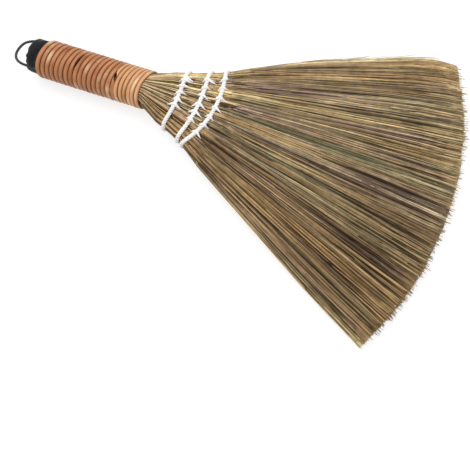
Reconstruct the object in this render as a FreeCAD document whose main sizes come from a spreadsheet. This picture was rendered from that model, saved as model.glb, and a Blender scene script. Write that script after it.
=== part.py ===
"""Hand broom: a fan of fine grass in tufts, stitched with cord, on a cane-wrapped handle.

The broom lies on a flat surface. X runs along the fan towards the tips, Y runs across it and Z points up.
The origin is at the centre of the broom's base. Lengths are in millimetres and angles in degrees.
"""
import FreeCAD, Part
import math
import os

import Sketcher
from FreeCAD import Placement, Rotation, Vector

# Driving dimensions

SIZES = {
    # Handle
    "core_radius": 12.55,         # bound stalks under the rear cane strip
    "cane_rear": 3.55,            # thickness of the rear cane strip
    "cane_front": 2.7,            # thickness of the front cane strip
    "turns_rear": 17,
    "turns_front": 6,
    "strip_lead": 30.0,           # angle from the rear strip's end to the front strip's start
    "turn_gap": 0.5,              # daylight between two turns of cane
    "lay_gap": 0.1,               # between the cane and the stalks under it
    "tie_width": 6.0,             # inner tie, along the handle
    "tie_thickness": 1.3,
    "tie_recess": 0.15,           # how far a tie lies below the stalks' surface
    "tie_inset": 22.0,            # rear tie's middle, from the start of the cane
    # Cloth cap and hanging loop
    "cap_swell": 1.45,            # how far the cap stands out past the stalks under the rear cane
    "cap_length": 10.5,           # the part that shows behind the cane
    "cap_wall": 1.3,
    "cap_end_wall": 3.0,
    "cap_edge": 4.5,              # rounding of the cap's rim
    "skirt_length": 12.0,         # the part tucked under the cane
    "shoulder_gap": 0.3,          # between the cap's shoulder and the first turn
    "loop_cord": 2.3,             # diameter of the loop's cord
    "loop_bed": 0.8,              # depth of the cord's middle below the cap's surface, where it lies on it
    "loop_end_inset": 0.6,        # the lying ends stop this far before the cap's end
    "loop_upper_angle": -17.0,    # where the two ends lie, round the handle from +Y towards +Z
    "loop_lower_angle": 149.0,
    "swing_gap": 0.35,            # between the swinging loop and its fixed ends
    # Neck and fan
    "neck_length": 17.5,          # from the end of the cane to where handle and fan axes cross
    "fan_lean": 4.6,              # angle between the handle and the fan
    "apex_setback": 45.5,         # from that crossing back to where the fan's edges meet
    "neck_end": 50.0,             # from the apex to where the fan is flat
    "fan_half_angle": 24.8,
    "fan_thickness": 16.0,
    "tufts": 8,
    "tuft_gap": 0.4,              # angle left free between two tufts
    "tip_radius": 287.0,          # from the apex to the tips, at the middle
    "tip_slant": 2.6,             # each tuft's tips reach this much further than the last
    "tip_bow": 4.0,               # the outermost tips stop this much before an even slant
    "tip_thickness": 13.0,
    "tip_flat": 60.0,             # length of the underside that lies flat
    "clumps": 3,                  # clumps of fibres in a tuft, with furrows between them
    "furrow_angle": 0.9,          # angle that a furrow takes up
    "furrow_depth": 2.4,
    "furrow_lead": 14.0,          # length over which a furrow reaches its depth
    # Stitching
    "row_1": 60.0,                # the rows' radii
    "row_2": 76.8,
    "row_3": 86.6,
    "row_1_shift": 1.5,           # how far the rows' centres lie from the apex, towards tuft 1
    "row_2_shift": 4.4,
    "row_3_shift": 13.4,
    "row_cord": 2.3,
    "row_bite": 0.6,              # how deep a row is pulled into the stalks
    "hitch_cord": 1.3,
    "hitch_gap": 0.2,             # between a hitch and the row that it ties down
    "hitches_1": 5,
    "hitches_2": 6,
    "hitches_3": 7,
    "hitch_inset": 1.2,           # from the +Y end of a row's flat stretch to its first hitch
    "hitch_step": 5.35,           # angle between two hitches of a row
    # Flexing tufts
    "flex_gap": 0.5,              # between a tuft's rounded root and its socket
    "socket_wall": 1.5,           # stalks left between the last hitch and the socket
    "socket_lip": 4.5,            # the socket's lips stop this far before the flexing axis
}

# The loop's route, chosen by hand: outwards from the swing axis, and across it towards the upper end.
# Its first and last points are the two ends on the cap, so only the points between them are listed.
LOOP_POINTS = [(6.5, 12.9), (11.8, 7.3), (12.5, -4.7), (7.2, -12.0)]

ARC_SHARE = 0.45                  # share of the shorter run that a corner's arc takes up
OUTER_SPREAD = 6.0                # degrees by which the outermost strips overreach the fan's edges
FURROW_OVERREACH = 1.0            # how far the furrows' cutters stand out of the fibres

doc = FreeCAD.newDocument("hand_broom")
sheet = doc.addObject("Spreadsheet::Sheet", "Sizes")
for line, (alias, value) in enumerate(SIZES.items(), start=1):
    sheet.set(f"A{line}", alias)
    sheet.set(f"B{line}", str(value))
    sheet.setAlias(f"B{line}", alias)
doc.recompute()


def size(alias):
    """The value of one driving dimension."""
    return float(sheet.get(alias))


def cos_of(degrees):
    return math.cos(math.radians(degrees))


def sin_of(degrees):
    return math.sin(math.radians(degrees))


# Sizes that follow from the driving dimensions

TUFTS = int(size("tufts"))
CLUMPS = int(size("clumps"))
TUFT_ANGLE = 2 * size("fan_half_angle") / TUFTS
PITCH_REAR = size("cane_rear") + size("turn_gap")
PITCH_FRONT = size("cane_front") + size("turn_gap")
REAR_LENGTH = size("turns_rear") * PITCH_REAR + size("cane_rear")
REAR_END = REAR_LENGTH - size("cane_rear") / 2
PITCH_BETWEEN = (size("cane_rear") + size("cane_front")) / 2 + size("turn_gap")
TURN_SHARE = 1 - size("strip_lead") / 360
FRONT_START = REAR_END + PITCH_BETWEEN - PITCH_FRONT * TURN_SHARE
FRONT_LENGTH = size("turns_front") * PITCH_FRONT + size("cane_front") / 2
WRAP_LENGTH = FRONT_START + FRONT_LENGTH
HANDLE_RADIUS = size("core_radius") + size("lay_gap") + size("cane_rear")
FRONT_CORE = HANDLE_RADIUS - size("cane_front") - size("lay_gap")
BUTT_RADIUS = size("core_radius") - size("cap_wall")
CAP_RADIUS = size("core_radius") + size("cap_swell")
HALF_FAN = size("fan_thickness") / 2
ROW_LIFT = size("row_cord") / 2 - size("row_bite")
HITCH_LEG = ROW_LIFT + size("row_cord") / 2 + size("hitch_gap") + size("hitch_cord") / 2
ROW_3_REACH = size("row_3") + size("row_3_shift") * sin_of(size("fan_half_angle"))
LAST_STITCH = ROW_3_REACH + HITCH_LEG + size("hitch_cord") / 2
FLEX_RADIUS = LAST_STITCH + size("socket_wall") + HALF_FAN + size("flex_gap")

# The same sizes as expressions of the sheet's cells

HANDLE_RADIUS_CELLS = "Sizes.core_radius + Sizes.lay_gap + Sizes.cane_rear"
FRONT_CORE_CELLS = "Sizes.core_radius + Sizes.cane_rear - Sizes.cane_front"
HITCH_LEG_CELLS = "Sizes.row_cord - Sizes.row_bite + Sizes.hitch_gap + Sizes.hitch_cord / 2"
FLEX_RADIUS_CELLS = ("Sizes.row_3 + Sizes.row_3_shift * sin(Sizes.fan_half_angle)"
                     f" + {HITCH_LEG_CELLS} + Sizes.hitch_cord / 2 + Sizes.socket_wall"
                     " + Sizes.fan_thickness / 2 + Sizes.flex_gap")


def tuft_direction(number):
    """A tuft's middle, in degrees from the fan's axis. Tuft 1 is at the +Y edge."""
    return size("fan_half_angle") - (number - 0.5) * TUFT_ANGLE


def tuft_tip(number):
    """Radius of a tuft's tips about the apex."""
    off_middle = number - (TUFTS + 1) / 2
    bow = size("tip_bow") * (2 * off_middle / (TUFTS - 1)) ** 2
    return size("tip_radius") + size("tip_slant") * off_middle - bow


def apex_place():
    """The apex's place, which puts the origin at the centre of the broom's base."""
    half_tuft = (TUFT_ANGLE - size("tuft_gap")) / 2
    reaches = []
    for number in range(1, TUFTS + 1):
        nearest = max(0.0, abs(tuft_direction(number)) - half_tuft)
        reaches.append(tuft_tip(number) * cos_of(nearest))
    far_x = max(reaches)
    edge = size("fan_half_angle") - size("tuft_gap") / 2
    high_y = tuft_tip(1) * sin_of(edge)
    low_y = -tuft_tip(TUFTS) * sin_of(edge)
    rim = size("cap_edge")
    rim_place = WRAP_LENGTH + size("neck_length") + size("cap_length") - rim
    rim_middle = CAP_RADIUS - rim
    behind = rim_place * cos_of(size("fan_lean")) + rim_middle * sin_of(size("fan_lean")) + rim
    near_x = size("apex_setback") - behind
    return Vector(-(far_x + near_x) / 2, -(high_y + low_y) / 2, 0)


UP = Vector(0, 0, 1)
LEVEL = UP * HANDLE_RADIUS
APEX = apex_place()
ALONG = Vector(cos_of(size("fan_lean")), sin_of(size("fan_lean")), 0)
ACROSS = UP.cross(ALONG)
CROSSING = APEX + Vector(size("apex_setback"), 0, 0)
HANDLE_START = CROSSING - ALONG * (WRAP_LENGTH + size("neck_length")) + LEVEL
HANDLE_TURN = Rotation(UP, size("fan_lean"))
AXIS_ALONG_HANDLE = HANDLE_TURN * Rotation(Vector(0, 1, 0), 90)


def on_handle(along, across=0.0, above=0.0):
    """A point by its place along the handle from the start of the cane, and off its axis."""
    return HANDLE_START + ALONG * along + ACROSS * across + UP * above


def outwards(degrees):
    """The direction away from the apex at an angle from the fan's axis."""
    return Vector(cos_of(degrees), sin_of(degrees), 0)


def on_fan(radius, degrees, above=0.0):
    """A point by its radius and angle about the apex, and its height above the fan's middle."""
    return APEX + LEVEL + outwards(degrees) * radius + UP * above


def turned_to(first, second):
    """The turn that brings X to the first direction and Y to the second."""
    return Rotation(first, second, first.cross(second), "XYZ")


# Making objects

def bound(kind, name, placement, **expressions):
    """A primitive whose sizes are expressions of the sheet's cells."""
    piece = doc.addObject(kind, name)
    for prop, expression in expressions.items():
        piece.setExpression(prop, expression)
    piece.Placement = placement
    return piece


def half_ring(name, placement, radius, section):
    """Half a torus, from its X axis round by its Y axis."""
    piece = bound("Part::Torus", name, placement, Radius1=radius, Radius2=section)
    piece.Angle3 = 180
    return piece


def plain(name, shape):
    """A shape that has no primitive of its own."""
    piece = doc.addObject("Part::Feature", name)
    piece.Shape = shape
    return piece


def joined(name, pieces):
    piece = doc.addObject("Part::MultiFuse", name)
    piece.Shapes = pieces
    return piece


def shared(name, pieces):
    """What all the pieces have in common."""
    piece = doc.addObject("Part::MultiCommon", name)
    piece.Shapes = pieces
    return piece


def side_by_side(name, pieces):
    piece = doc.addObject("Part::Compound", name)
    piece.Links = pieces
    return piece


def cut(name, base, tool):
    piece = doc.addObject("Part::Cut", name)
    piece.Base = base
    piece.Tool = tool
    return piece


# Tubes along arcs

def arc_from(start, corner, end):
    """The arc that touches the line from start to corner and the line from corner to end."""
    chord_middle = (start + end) * 0.5
    half_chord = (end - start).Length / 2
    side = (corner - start).Length
    crown = chord_middle + (corner - chord_middle) * (half_chord / (half_chord + side))
    return Part.Arc(start, crown, end).toShape()


def biarc(start, start_way, end, end_way):
    """Two arcs that join two points and leave and reach them in the given directions."""
    step = end - start
    spread = 2 * (1 - start_way.dot(end_way))
    lean = step.dot(start_way + end_way)
    reach = (math.sqrt(lean * lean + spread * step.dot(step)) - lean) / spread
    near = start + start_way * reach
    far = end - end_way * reach
    middle = (near + far) * 0.5
    return [arc_from(start, near, middle), arc_from(middle, far, end)]


def tube(name, edges, thickness):
    """A round tube along joined edges. Its volume is printed beside its section times its length."""
    path = Part.Wire(edges)
    first = edges[0]
    start = first.valueAt(first.FirstParameter)
    way = first.tangentAt(first.FirstParameter)
    section = Part.Wire(Part.Circle(start, way, thickness / 2).toShape())
    shape = path.makePipeShell([section], True, False)
    expected = math.pi * thickness ** 2 / 4 * path.Length
    print(name, "volume", round(shape.Volume, 1), "section times length", round(expected, 1))
    return shape


# Cane strips, each wound round the handle in one unbroken run

def least_gap(edges, thickness, half_turn):
    """The smallest gap between stretches of a winding that are at least half a turn apart."""
    points_an_edge = 9
    farthest = 5 * half_turn
    points = []
    done = 0.0
    for edge in edges:
        for number, point in enumerate(edge.discretize(points_an_edge)):
            points.append((done + edge.Length * number / (points_an_edge - 1), point))
        done += edge.Length
    gap = farthest
    for first, (place, point) in enumerate(points):
        for other_place, other in points[first + 1:]:
            apart = other_place - place
            if apart > farthest:
                break
            if apart >= half_turn:
                gap = min(gap, other.distanceToPoint(point) - thickness)
    return gap


def winding(name, first, start_angle, turns, pitch, thickness):
    """A strip wound round the handle, from +Z towards +Y, with ends that run straight for one thickness."""
    radius = HANDLE_RADIUS - thickness / 2

    def station(half_turns):
        turned = start_angle - half_turns * 180
        spot = on_handle(first + half_turns * pitch / 2, radius * cos_of(turned), radius * sin_of(turned))
        round_way = ACROSS * sin_of(turned) - UP * cos_of(turned)
        way = ALONG * (pitch / (2 * math.pi * radius)) + round_way
        return spot, way.normalize()

    stations = [station(number) for number in range(int(2 * turns) + 1)]
    start, start_way = stations[0]
    end, end_way = stations[-1]
    edges = [Part.LineSegment(start - start_way * thickness, start).toShape()]
    for (spot, way), (next_spot, next_way) in zip(stations, stations[1:]):
        edges += biarc(spot, way, next_spot, next_way)
    edges.append(Part.LineSegment(end, end + end_way * thickness).toShape())
    strip = tube(name, edges, thickness)
    print(name, "least gap to itself", round(least_gap(edges, thickness, math.pi * radius), 3))
    return plain(name, strip)


LOWEST = -90                      # the cane starts below the handle, where it doesn't show
wrap_strip_rear = winding(
    "wrap_strip_rear", size("cane_rear") / 2, LOWEST, size("turns_rear"), PITCH_REAR, size("cane_rear"))
wrap_strip_front = winding(
    "wrap_strip_front", FRONT_START, LOWEST - size("strip_lead"), size("turns_front"), PITCH_FRONT,
    size("cane_front"))


# Inner ties, flat bands let into the stalks under the cane

def tie(name, middle, core_cells):
    """A band round the stalks, and the groove that it lies in."""
    place = Placement(on_handle(middle - size("tie_width") / 2), AXIS_ALONG_HANDLE)
    band = bound("Part::Cylinder", name + "_outside", place,
                 Radius=f"{core_cells} - Sizes.tie_recess", Height="Sizes.tie_width")
    room = bound("Part::Cylinder", name + "_room", place,
                 Radius=f"{core_cells} + Sizes.lay_gap", Height="Sizes.tie_width")
    hollow = bound("Part::Cylinder", name + "_hollow", place,
                   Radius=f"{core_cells} - Sizes.tie_thickness", Height="Sizes.tie_width")
    return cut(name, band, hollow), cut(name + "_groove", room, hollow)


tie_rear, tie_rear_groove = tie("tie_rear", size("tie_inset"), "Sizes.core_radius")
tie_front, tie_front_groove = tie("tie_front", (REAR_LENGTH + WRAP_LENGTH) / 2, FRONT_CORE_CELLS)


# Sketches

START, END, CENTRE = range(1, 4)  # a line's or an arc's points
LEVEL_AXIS = -1                   # the sketch's horizontal axis, which starts at its origin


def upright_sketch(body, name):
    """A sketch on the body's own XZ plane."""
    sketch = body.newObject("Sketcher::SketchObject", name)
    plane = [item for item in body.Origin.OriginFeatures if item.Role == "XZ_Plane"][0]
    sketch.AttachmentSupport = [(plane, "")]
    sketch.MapMode = "FlatFace"
    return sketch


def draw_lines(sketch, points):
    """Lines from each point to the next, joined end to end."""
    lines = []
    for (x, y), (next_x, next_y) in zip(points, points[1:]):
        line = Part.LineSegment(Vector(x, y, 0), Vector(next_x, next_y, 0))
        lines.append(sketch.addGeometry(line, False))
    for line, next_line in zip(lines, lines[1:]):
        sketch.addConstraint(Sketcher.Constraint("Coincident", line, END, next_line, START))
    return lines


def draw_arc(sketch, x, y, radius, first, last):
    """An arc about a point, anticlockwise between two angles."""
    circle = Part.Circle(Vector(x, y, 0), UP, radius)
    return sketch.addGeometry(Part.ArcOfCircle(circle, math.radians(first), math.radians(last)), False)


def bind(sketch, expression, *constraint):
    """Add a dimension whose value is an expression of the sheet's cells."""
    value = float(sketch.evalExpression(expression))
    number = sketch.addConstraint(Sketcher.Constraint(*constraint, value))
    sketch.setExpression(f"Constraints[{number}]", expression)


def revolved(body, sketch, axis):
    turn = body.newObject("PartDesign::Revolution", body.Name + "_turn")
    turn.Profile = sketch
    turn.ReferenceAxis = (sketch, [axis])
    return turn


# Cloth cap over the butt, with its skirt tucked under the cane

def cap_cup():
    """The cap before the loop's ends are pressed into it."""
    body = doc.addObject("PartDesign::Body", "cap_cup")
    sketch = upright_sketch(body, "cap_outline")
    length, rim, wide = size("cap_length"), size("cap_edge"), CAP_RADIUS
    core, inside, floor = size("core_radius"), BUTT_RADIUS, size("cap_end_wall") - size("cap_length")
    shoulder = -size("shoulder_gap")
    arc = draw_arc(sketch, rim - length, wide - rim, rim, 90, 180)
    side, step, skirt, hem, bore, end_wall, middle, end_face = draw_lines(sketch, [
        (rim - length, wide), (shoulder, wide), (shoulder, core), (size("skirt_length"), core),
        (size("skirt_length"), inside), (floor, inside), (floor, 0), (-length, 0), (-length, wide - rim)])
    sketch.addConstraint(Sketcher.Constraint("Tangent", arc, START, side, START))
    sketch.addConstraint(Sketcher.Constraint("Tangent", arc, END, end_face, END))
    for line in (side, skirt, bore):
        sketch.addConstraint(Sketcher.Constraint("Horizontal", line))
    for line in (step, hem, end_wall, end_face):
        sketch.addConstraint(Sketcher.Constraint("Vertical", line))
    sketch.addConstraint(Sketcher.Constraint("PointOnObject", middle, START, LEVEL_AXIS))
    sketch.addConstraint(Sketcher.Constraint("PointOnObject", middle, END, LEVEL_AXIS))
    bind(sketch, "Sizes.cap_edge", "Radius", arc)
    bind(sketch, "Sizes.cap_length", "DistanceX", middle, END, LEVEL_AXIS, START)
    bind(sketch, "Sizes.cap_end_wall", "DistanceX", middle, END, middle, START)
    bind(sketch, "Sizes.shoulder_gap", "DistanceX", side, END, LEVEL_AXIS, START)
    bind(sketch, "Sizes.skirt_length", "DistanceX", LEVEL_AXIS, START, skirt, END)
    bind(sketch, "Sizes.core_radius + Sizes.cap_swell", "DistanceY", LEVEL_AXIS, START, side, END)
    bind(sketch, "Sizes.core_radius", "DistanceY", LEVEL_AXIS, START, skirt, END)
    bind(sketch, "Sizes.cap_wall", "DistanceY", hem, END, hem, START)
    revolved(body, sketch, "H_Axis")
    body.Placement = Placement(HANDLE_START, HANDLE_TURN)
    return body


def loop_seat(alias, along):
    """The middle of the loop's cord at one of its two ends, at a place along the handle."""
    degrees = size(alias)
    seat = CAP_RADIUS - size("loop_bed")
    return on_handle(along, seat * cos_of(degrees), seat * sin_of(degrees))


def loop_end(name, alias):
    """A fixed end of the loop, which lies along the cap up to the cane."""
    back = Placement(loop_seat(alias, size("loop_end_inset") - size("cap_length")), AXIS_ALONG_HANDLE)
    return bound("Part::Cylinder", name, back, Radius="Sizes.loop_cord / 2",
                 Height="Sizes.cap_length - Sizes.loop_end_inset - Sizes.shoulder_gap")


loop_end_upper = loop_end("loop_end_upper", "loop_upper_angle")
loop_end_lower = loop_end("loop_end_lower", "loop_lower_angle")
end_cap = cut("end_cap", cap_cup(), side_by_side("loop_grooves", [loop_end_upper, loop_end_lower]))


# Hanging loop, which swings about the line between its two ends

SWING_OUT = size("cap_length") + size("swing_gap") + size("loop_cord") / 2
LOOP_UPPER = loop_seat("loop_upper_angle", -SWING_OUT)
LOOP_LOWER = loop_seat("loop_lower_angle", -SWING_OUT)
SWING_MIDDLE = (LOOP_UPPER + LOOP_LOWER) * 0.5
SWING_AXIS = (LOOP_UPPER - LOOP_LOWER).normalize()


def rounded_route(name, points):
    """Straight runs through the points, with each corner an arc as large as its runs allow."""
    runs = [(end - start).Length for start, end in zip(points, points[1:])]
    edges = []
    last = points[0]
    for number in range(1, len(points) - 1):
        before, corner, after = points[number - 1:number + 2]
        trim = ARC_SHARE * min(runs[number - 1], runs[number])
        into = corner + (before - corner).normalize() * trim
        out = corner + (after - corner).normalize() * trim
        turn = math.degrees((corner - before).getAngle(after - corner))
        print(name, "bend radius", round(trim / math.tan(math.radians(turn / 2)), 2))
        edges.append(Part.LineSegment(last, into).toShape())
        edges.append(arc_from(into, corner, out))
        last = out
    edges.append(Part.LineSegment(last, points[-1]).toShape())
    return edges


def hanging_loop():
    """The free part of the loop, with rounded ends that turn beside the fixed ones."""
    points = [SWING_MIDDLE - ALONG * out + SWING_AXIS * across for out, across in LOOP_POINTS]
    points = [LOOP_UPPER] + points + [LOOP_LOWER]
    cord = size("loop_cord")
    shape = tube("hang_loop", rounded_route("hang_loop", points), cord)
    for end in (LOOP_UPPER, LOOP_LOWER):
        shape = shape.fuse(Part.makeSphere(cord / 2, end))
    return plain("hang_loop", shape)


hang_loop = hanging_loop()


# Rows of cord round the fan, and the hitches that tie them down

def row_centre(row):
    """The middle of a row's arc, at the fan's middle height."""
    return APEX + LEVEL + Vector(0, size(f"row_{row}_shift"), 0)


def row_end(row, side):
    """The angle about its centre at which a row leaves the fan's flat, on the left (1) or right (-1) side."""
    slope = math.tan(math.radians(size("fan_half_angle")))
    squares = 1 + slope * slope
    shift = size(f"row_{row}_shift")
    inset = HALF_FAN + side * shift
    lean = slope * inset
    along = (lean + math.sqrt(lean * lean - squares * (inset ** 2 - size(f"row_{row}") ** 2))) / squares
    return math.degrees(math.atan2(side * (along * slope - HALF_FAN) - shift, along))


def row_band(row):
    """A closed turn of cord: a strand over the fan, one under it, and a bend at each edge."""
    name = f"row_{row}_band"
    centre = row_centre(row)
    first, last = row_end(row, -1), row_end(row, 1)
    lift = HALF_FAN + ROW_LIFT
    pieces = []
    for side, height in (("top", lift), ("base", -lift)):
        strand = bound("Part::Torus", f"{name}_{side}", Placement(centre + UP * height, Rotation(UP, first)),
                       Radius1=f"Sizes.row_{row}", Radius2="Sizes.row_cord / 2")
        strand.Angle3 = last - first
        pieces.append(strand)
    for side, degrees, sign in (("left", last, 1), ("right", first, -1)):
        round_way = UP.cross(outwards(degrees)) * sign
        place = Placement(centre + outwards(degrees) * size(f"row_{row}"), turned_to(-UP, round_way))
        pieces.append(half_ring(f"{name}_{side}", place,
                                "Sizes.fan_thickness / 2 + Sizes.row_cord / 2 - Sizes.row_bite",
                                "Sizes.row_cord / 2"))
    return joined(name, pieces)


def row_radius(row, degrees):
    """A row's radius about the apex, at an angle from the fan's axis."""
    shift = size(f"row_{row}_shift")
    return shift * sin_of(degrees) + math.sqrt(size(f"row_{row}") ** 2 - (shift * cos_of(degrees)) ** 2)


def hitch_legs(name, row, degrees):
    """The two stretches of a stitch that go down through the fan, one on each side of a row."""
    legs = []
    for side, offset in (("near", -HITCH_LEG), ("far", HITCH_LEG)):
        foot = Placement(on_fan(row_radius(row, degrees) + offset, degrees, -HALF_FAN), Rotation())
        legs.append(bound("Part::Cylinder", f"{name}_{side}", foot,
                          Radius="Sizes.hitch_cord / 2", Height="Sizes.fan_thickness"))
    return legs


def hitch_bends(name, row, degrees):
    """The two stretches of a stitch that cross its row, over the fan and under it."""
    bends = []
    for side, way in (("top", UP), ("base", -UP)):
        place = Placement(on_fan(row_radius(row, degrees), degrees) + way * HALF_FAN,
                          turned_to(outwards(degrees), way))
        bends.append(half_ring(f"{name}_{side}", place, HITCH_LEG_CELLS, "Sizes.hitch_cord / 2"))
    return bends


def first_hitch(row):
    """The angle of a row's first hitch from the fan's axis, near the +Y edge."""
    flat_end = row_centre(row) + outwards(row_end(row, 1)) * size(f"row_{row}") - APEX
    return math.degrees(math.atan2(flat_end.y, flat_end.x) - size("hitch_inset") / size(f"row_{row}"))


def row_hitches(row):
    """All the hitches of one row, which leave its -Y end plain, and the legs that pierce the fan."""
    stitches = []
    piercing = []
    for number in range(int(size(f"hitches_{row}"))):
        degrees = first_hitch(row) - number * size("hitch_step")
        name = f"row_{row}_hitch_{number + 1}"
        legs = hitch_legs(name, row, degrees)
        piercing += legs
        stitches.append(joined(name, legs + hitch_bends(name, row, degrees)))
    return side_by_side(f"row_{row}_hitches", stitches), piercing


ROWS = range(1, 4)
bands = [row_band(row) for row in ROWS]
hitches = []
stitch_holes = []
for row in ROWS:
    stitches, piercing = row_hitches(row)
    hitches.append(stitches)
    stitch_holes += piercing


# Bound stalks: round in the handle, flat in the fan, split lengthways into tufts

def round_outline(along, radius):
    """A circle across the handle, in four arcs from its upper left."""
    arcs = []
    for first in (45, 135, 225, 315):
        spots = [on_handle(along, radius * cos_of(first + step), radius * sin_of(first + step))
                 for step in (0, 45, 90)]
        arcs.append(Part.Arc(*spots).toShape())
    return Part.Wire(arcs)


def flat_outline(out):
    """A flat outline with round edges across the fan, in the same four stretches."""
    wide = out * math.tan(math.radians(size("fan_half_angle")))
    flat = wide - HALF_FAN

    def spot(across, above):
        return APEX + LEVEL + Vector(out, across, above)

    return Part.Wire([
        Part.LineSegment(spot(flat, HALF_FAN), spot(-flat, HALF_FAN)).toShape(),
        Part.Arc(spot(-flat, HALF_FAN), spot(-wide, 0), spot(-flat, -HALF_FAN)).toShape(),
        Part.LineSegment(spot(-flat, -HALF_FAN), spot(flat, -HALF_FAN)).toShape(),
        Part.Arc(spot(flat, -HALF_FAN), spot(wide, 0), spot(flat, HALF_FAN)).toShape()])


def handle_core(name, first, last, radius_cells):
    """A round length of the bound stalks."""
    core = bound("Part::Cylinder", name, Placement(on_handle(first), AXIS_ALONG_HANDLE), Radius=radius_cells)
    core.Height = last - first
    return core


def strip_edge(number):
    """The line between two tufts, from the butt to past the stalks' end, at floor level."""
    across = BUTT_RADIUS * (1 - 2 * number / TUFTS)
    degrees = size("fan_half_angle") - number * TUFT_ANGLE
    if number in (0, TUFTS):
        across += math.copysign(HANDLE_RADIUS, across)
        degrees += math.copysign(OUTER_SPREAD, degrees)
    neck = size("neck_end") / cos_of(degrees)
    points = [on_handle(-size("cap_length"), across), on_handle(WRAP_LENGTH, across),
              on_fan(neck, degrees), on_fan(2 * FLEX_RADIUS, degrees)]
    return [point - LEVEL for point in points]


def strip(number):
    """The upright slice of space that one tuft's stalks take up."""
    points = strip_edge(number - 1) + strip_edge(number)[::-1]
    outline = Part.makePolygon(points + points[:1])
    return plain(f"strip_{number}", Part.Face(outline).extrude(LEVEL * 2))


flare = plain("flare", Part.makeLoft(
    [round_outline(WRAP_LENGTH, FRONT_CORE), flat_outline(size("neck_end")), flat_outline(FLEX_RADIUS)],
    True, True))
reach = bound("Part::Cylinder", "stalk_reach", Placement(APEX, Rotation()),
              Radius=f"{FLEX_RADIUS_CELLS} - Sizes.socket_lip", Height=f"2 * ({HANDLE_RADIUS_CELLS})")
socket = bound("Part::Torus", "socket", Placement(APEX + LEVEL, Rotation()),
               Radius1=FLEX_RADIUS_CELLS, Radius2="Sizes.fan_thickness / 2 + Sizes.flex_gap")
core = joined("core", [
    handle_core("core_butt", size("cap_end_wall") - size("cap_length"), size("skirt_length"),
                "Sizes.core_radius - Sizes.cap_wall"),
    handle_core("core_rear", size("skirt_length"), REAR_LENGTH, "Sizes.core_radius"),
    handle_core("core_front", REAR_LENGTH, WRAP_LENGTH, FRONT_CORE_CELLS),
    shared("neck", [flare, reach])])
hollows = side_by_side("hollows", [socket, tie_rear_groove, tie_front_groove] + bands + stitch_holes)
bundle = cut("bundle", core, hollows)
stalks = [shared(f"stalks_{number}", [bundle, strip(number)]) for number in range(1, TUFTS + 1)]


# Free fibres of each tuft, which flex at a rounded root past the last row and part into clumps

def wedge_of_fibres(number):
    """The space that one tuft's fibres take up: a thin wedge turned about the apex."""
    body = doc.addObject("PartDesign::Body", f"wedge_{number}")
    sketch = upright_sketch(body, f"wedge_{number}_outline")
    tip, flat = tuft_tip(number), tuft_tip(number) - size("tip_flat")
    root = draw_arc(sketch, FLEX_RADIUS, HANDLE_RADIUS, HALF_FAN, 90, 270)
    under, base, end, top = draw_lines(sketch, [
        (FLEX_RADIUS, HANDLE_RADIUS - HALF_FAN), (flat, 0), (tip, 0), (tip, size("tip_thickness")),
        (FLEX_RADIUS, HANDLE_RADIUS + HALF_FAN)])
    sketch.addConstraint(Sketcher.Constraint("Coincident", root, END, under, START))
    sketch.addConstraint(Sketcher.Constraint("Coincident", top, END, root, START))
    sketch.addConstraint(Sketcher.Constraint("Vertical", root, START, root, CENTRE))
    sketch.addConstraint(Sketcher.Constraint("Vertical", root, END, root, CENTRE))
    sketch.addConstraint(Sketcher.Constraint("PointOnObject", base, START, LEVEL_AXIS))
    sketch.addConstraint(Sketcher.Constraint("PointOnObject", base, END, LEVEL_AXIS))
    sketch.addConstraint(Sketcher.Constraint("Vertical", end))
    bind(sketch, FLEX_RADIUS_CELLS, "DistanceX", LEVEL_AXIS, START, root, CENTRE)
    bind(sketch, HANDLE_RADIUS_CELLS, "DistanceY", LEVEL_AXIS, START, root, CENTRE)
    bind(sketch, "Sizes.fan_thickness / 2", "Radius", root)
    bind(sketch, "Sizes.tip_flat", "DistanceX", base, START, base, END)
    off_middle = f"({number} - (Sizes.tufts + 1) / 2)"
    bow = f"Sizes.tip_bow * (2 * {off_middle} / (Sizes.tufts - 1)) ^ 2"
    bind(sketch, f"Sizes.tip_radius + Sizes.tip_slant * {off_middle} - {bow}",
         "DistanceX", LEVEL_AXIS, START, base, END)
    bind(sketch, "Sizes.tip_thickness", "DistanceY", end, START, end, END)
    wedge = revolved(body, sketch, "V_Axis")
    wedge.Midplane = True
    wedge.setExpression("Angle", "2 * Sizes.fan_half_angle / Sizes.tufts - Sizes.tuft_gap")
    body.Placement = Placement(APEX, Rotation(UP, tuft_direction(number)))
    return body


def upper_line(number):
    """Radius and height above the fan's middle, along the top of a tuft's fibres."""
    return [(FLEX_RADIUS, HALF_FAN), (tuft_tip(number), size("tip_thickness") - HANDLE_RADIUS)]


def under_line(number):
    """The same along the underside, which slopes down to the surface and then lies flat."""
    tip = tuft_tip(number)
    return [(FLEX_RADIUS, -HALF_FAN), (tip - size("tip_flat"), -HANDLE_RADIUS), (tip, -HANDLE_RADIUS)]


def furrow(name, line, degrees, side):
    """A sharp furrow along one side of a tuft, which deepens past the tuft's root."""
    (root, root_height), (bend, bend_height) = line[:2]
    slope = (bend_height - root_height) / (bend - root)
    lead = size("furrow_lead")
    tip, tip_height = line[-1]
    stations = [(root, root_height, 0.0), (root + lead, root_height + slope * lead, size("furrow_depth"))]
    stations += [(radius, height, size("furrow_depth")) for radius, height in line[1:-1]]
    stations.append((tip + FURROW_OVERREACH, tip_height, size("furrow_depth")))
    half_angle = size("furrow_angle") / 2
    sections = []
    for radius, height, depth in stations:
        outer = height + side * FURROW_OVERREACH
        sections.append(Part.makePolygon([
            on_fan(radius, degrees - half_angle, outer), on_fan(radius, degrees, height - side * depth),
            on_fan(radius, degrees + half_angle, outer), on_fan(radius, degrees - half_angle, outer)]))
    return plain(name, Part.makeLoft(sections, True, True))


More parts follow.
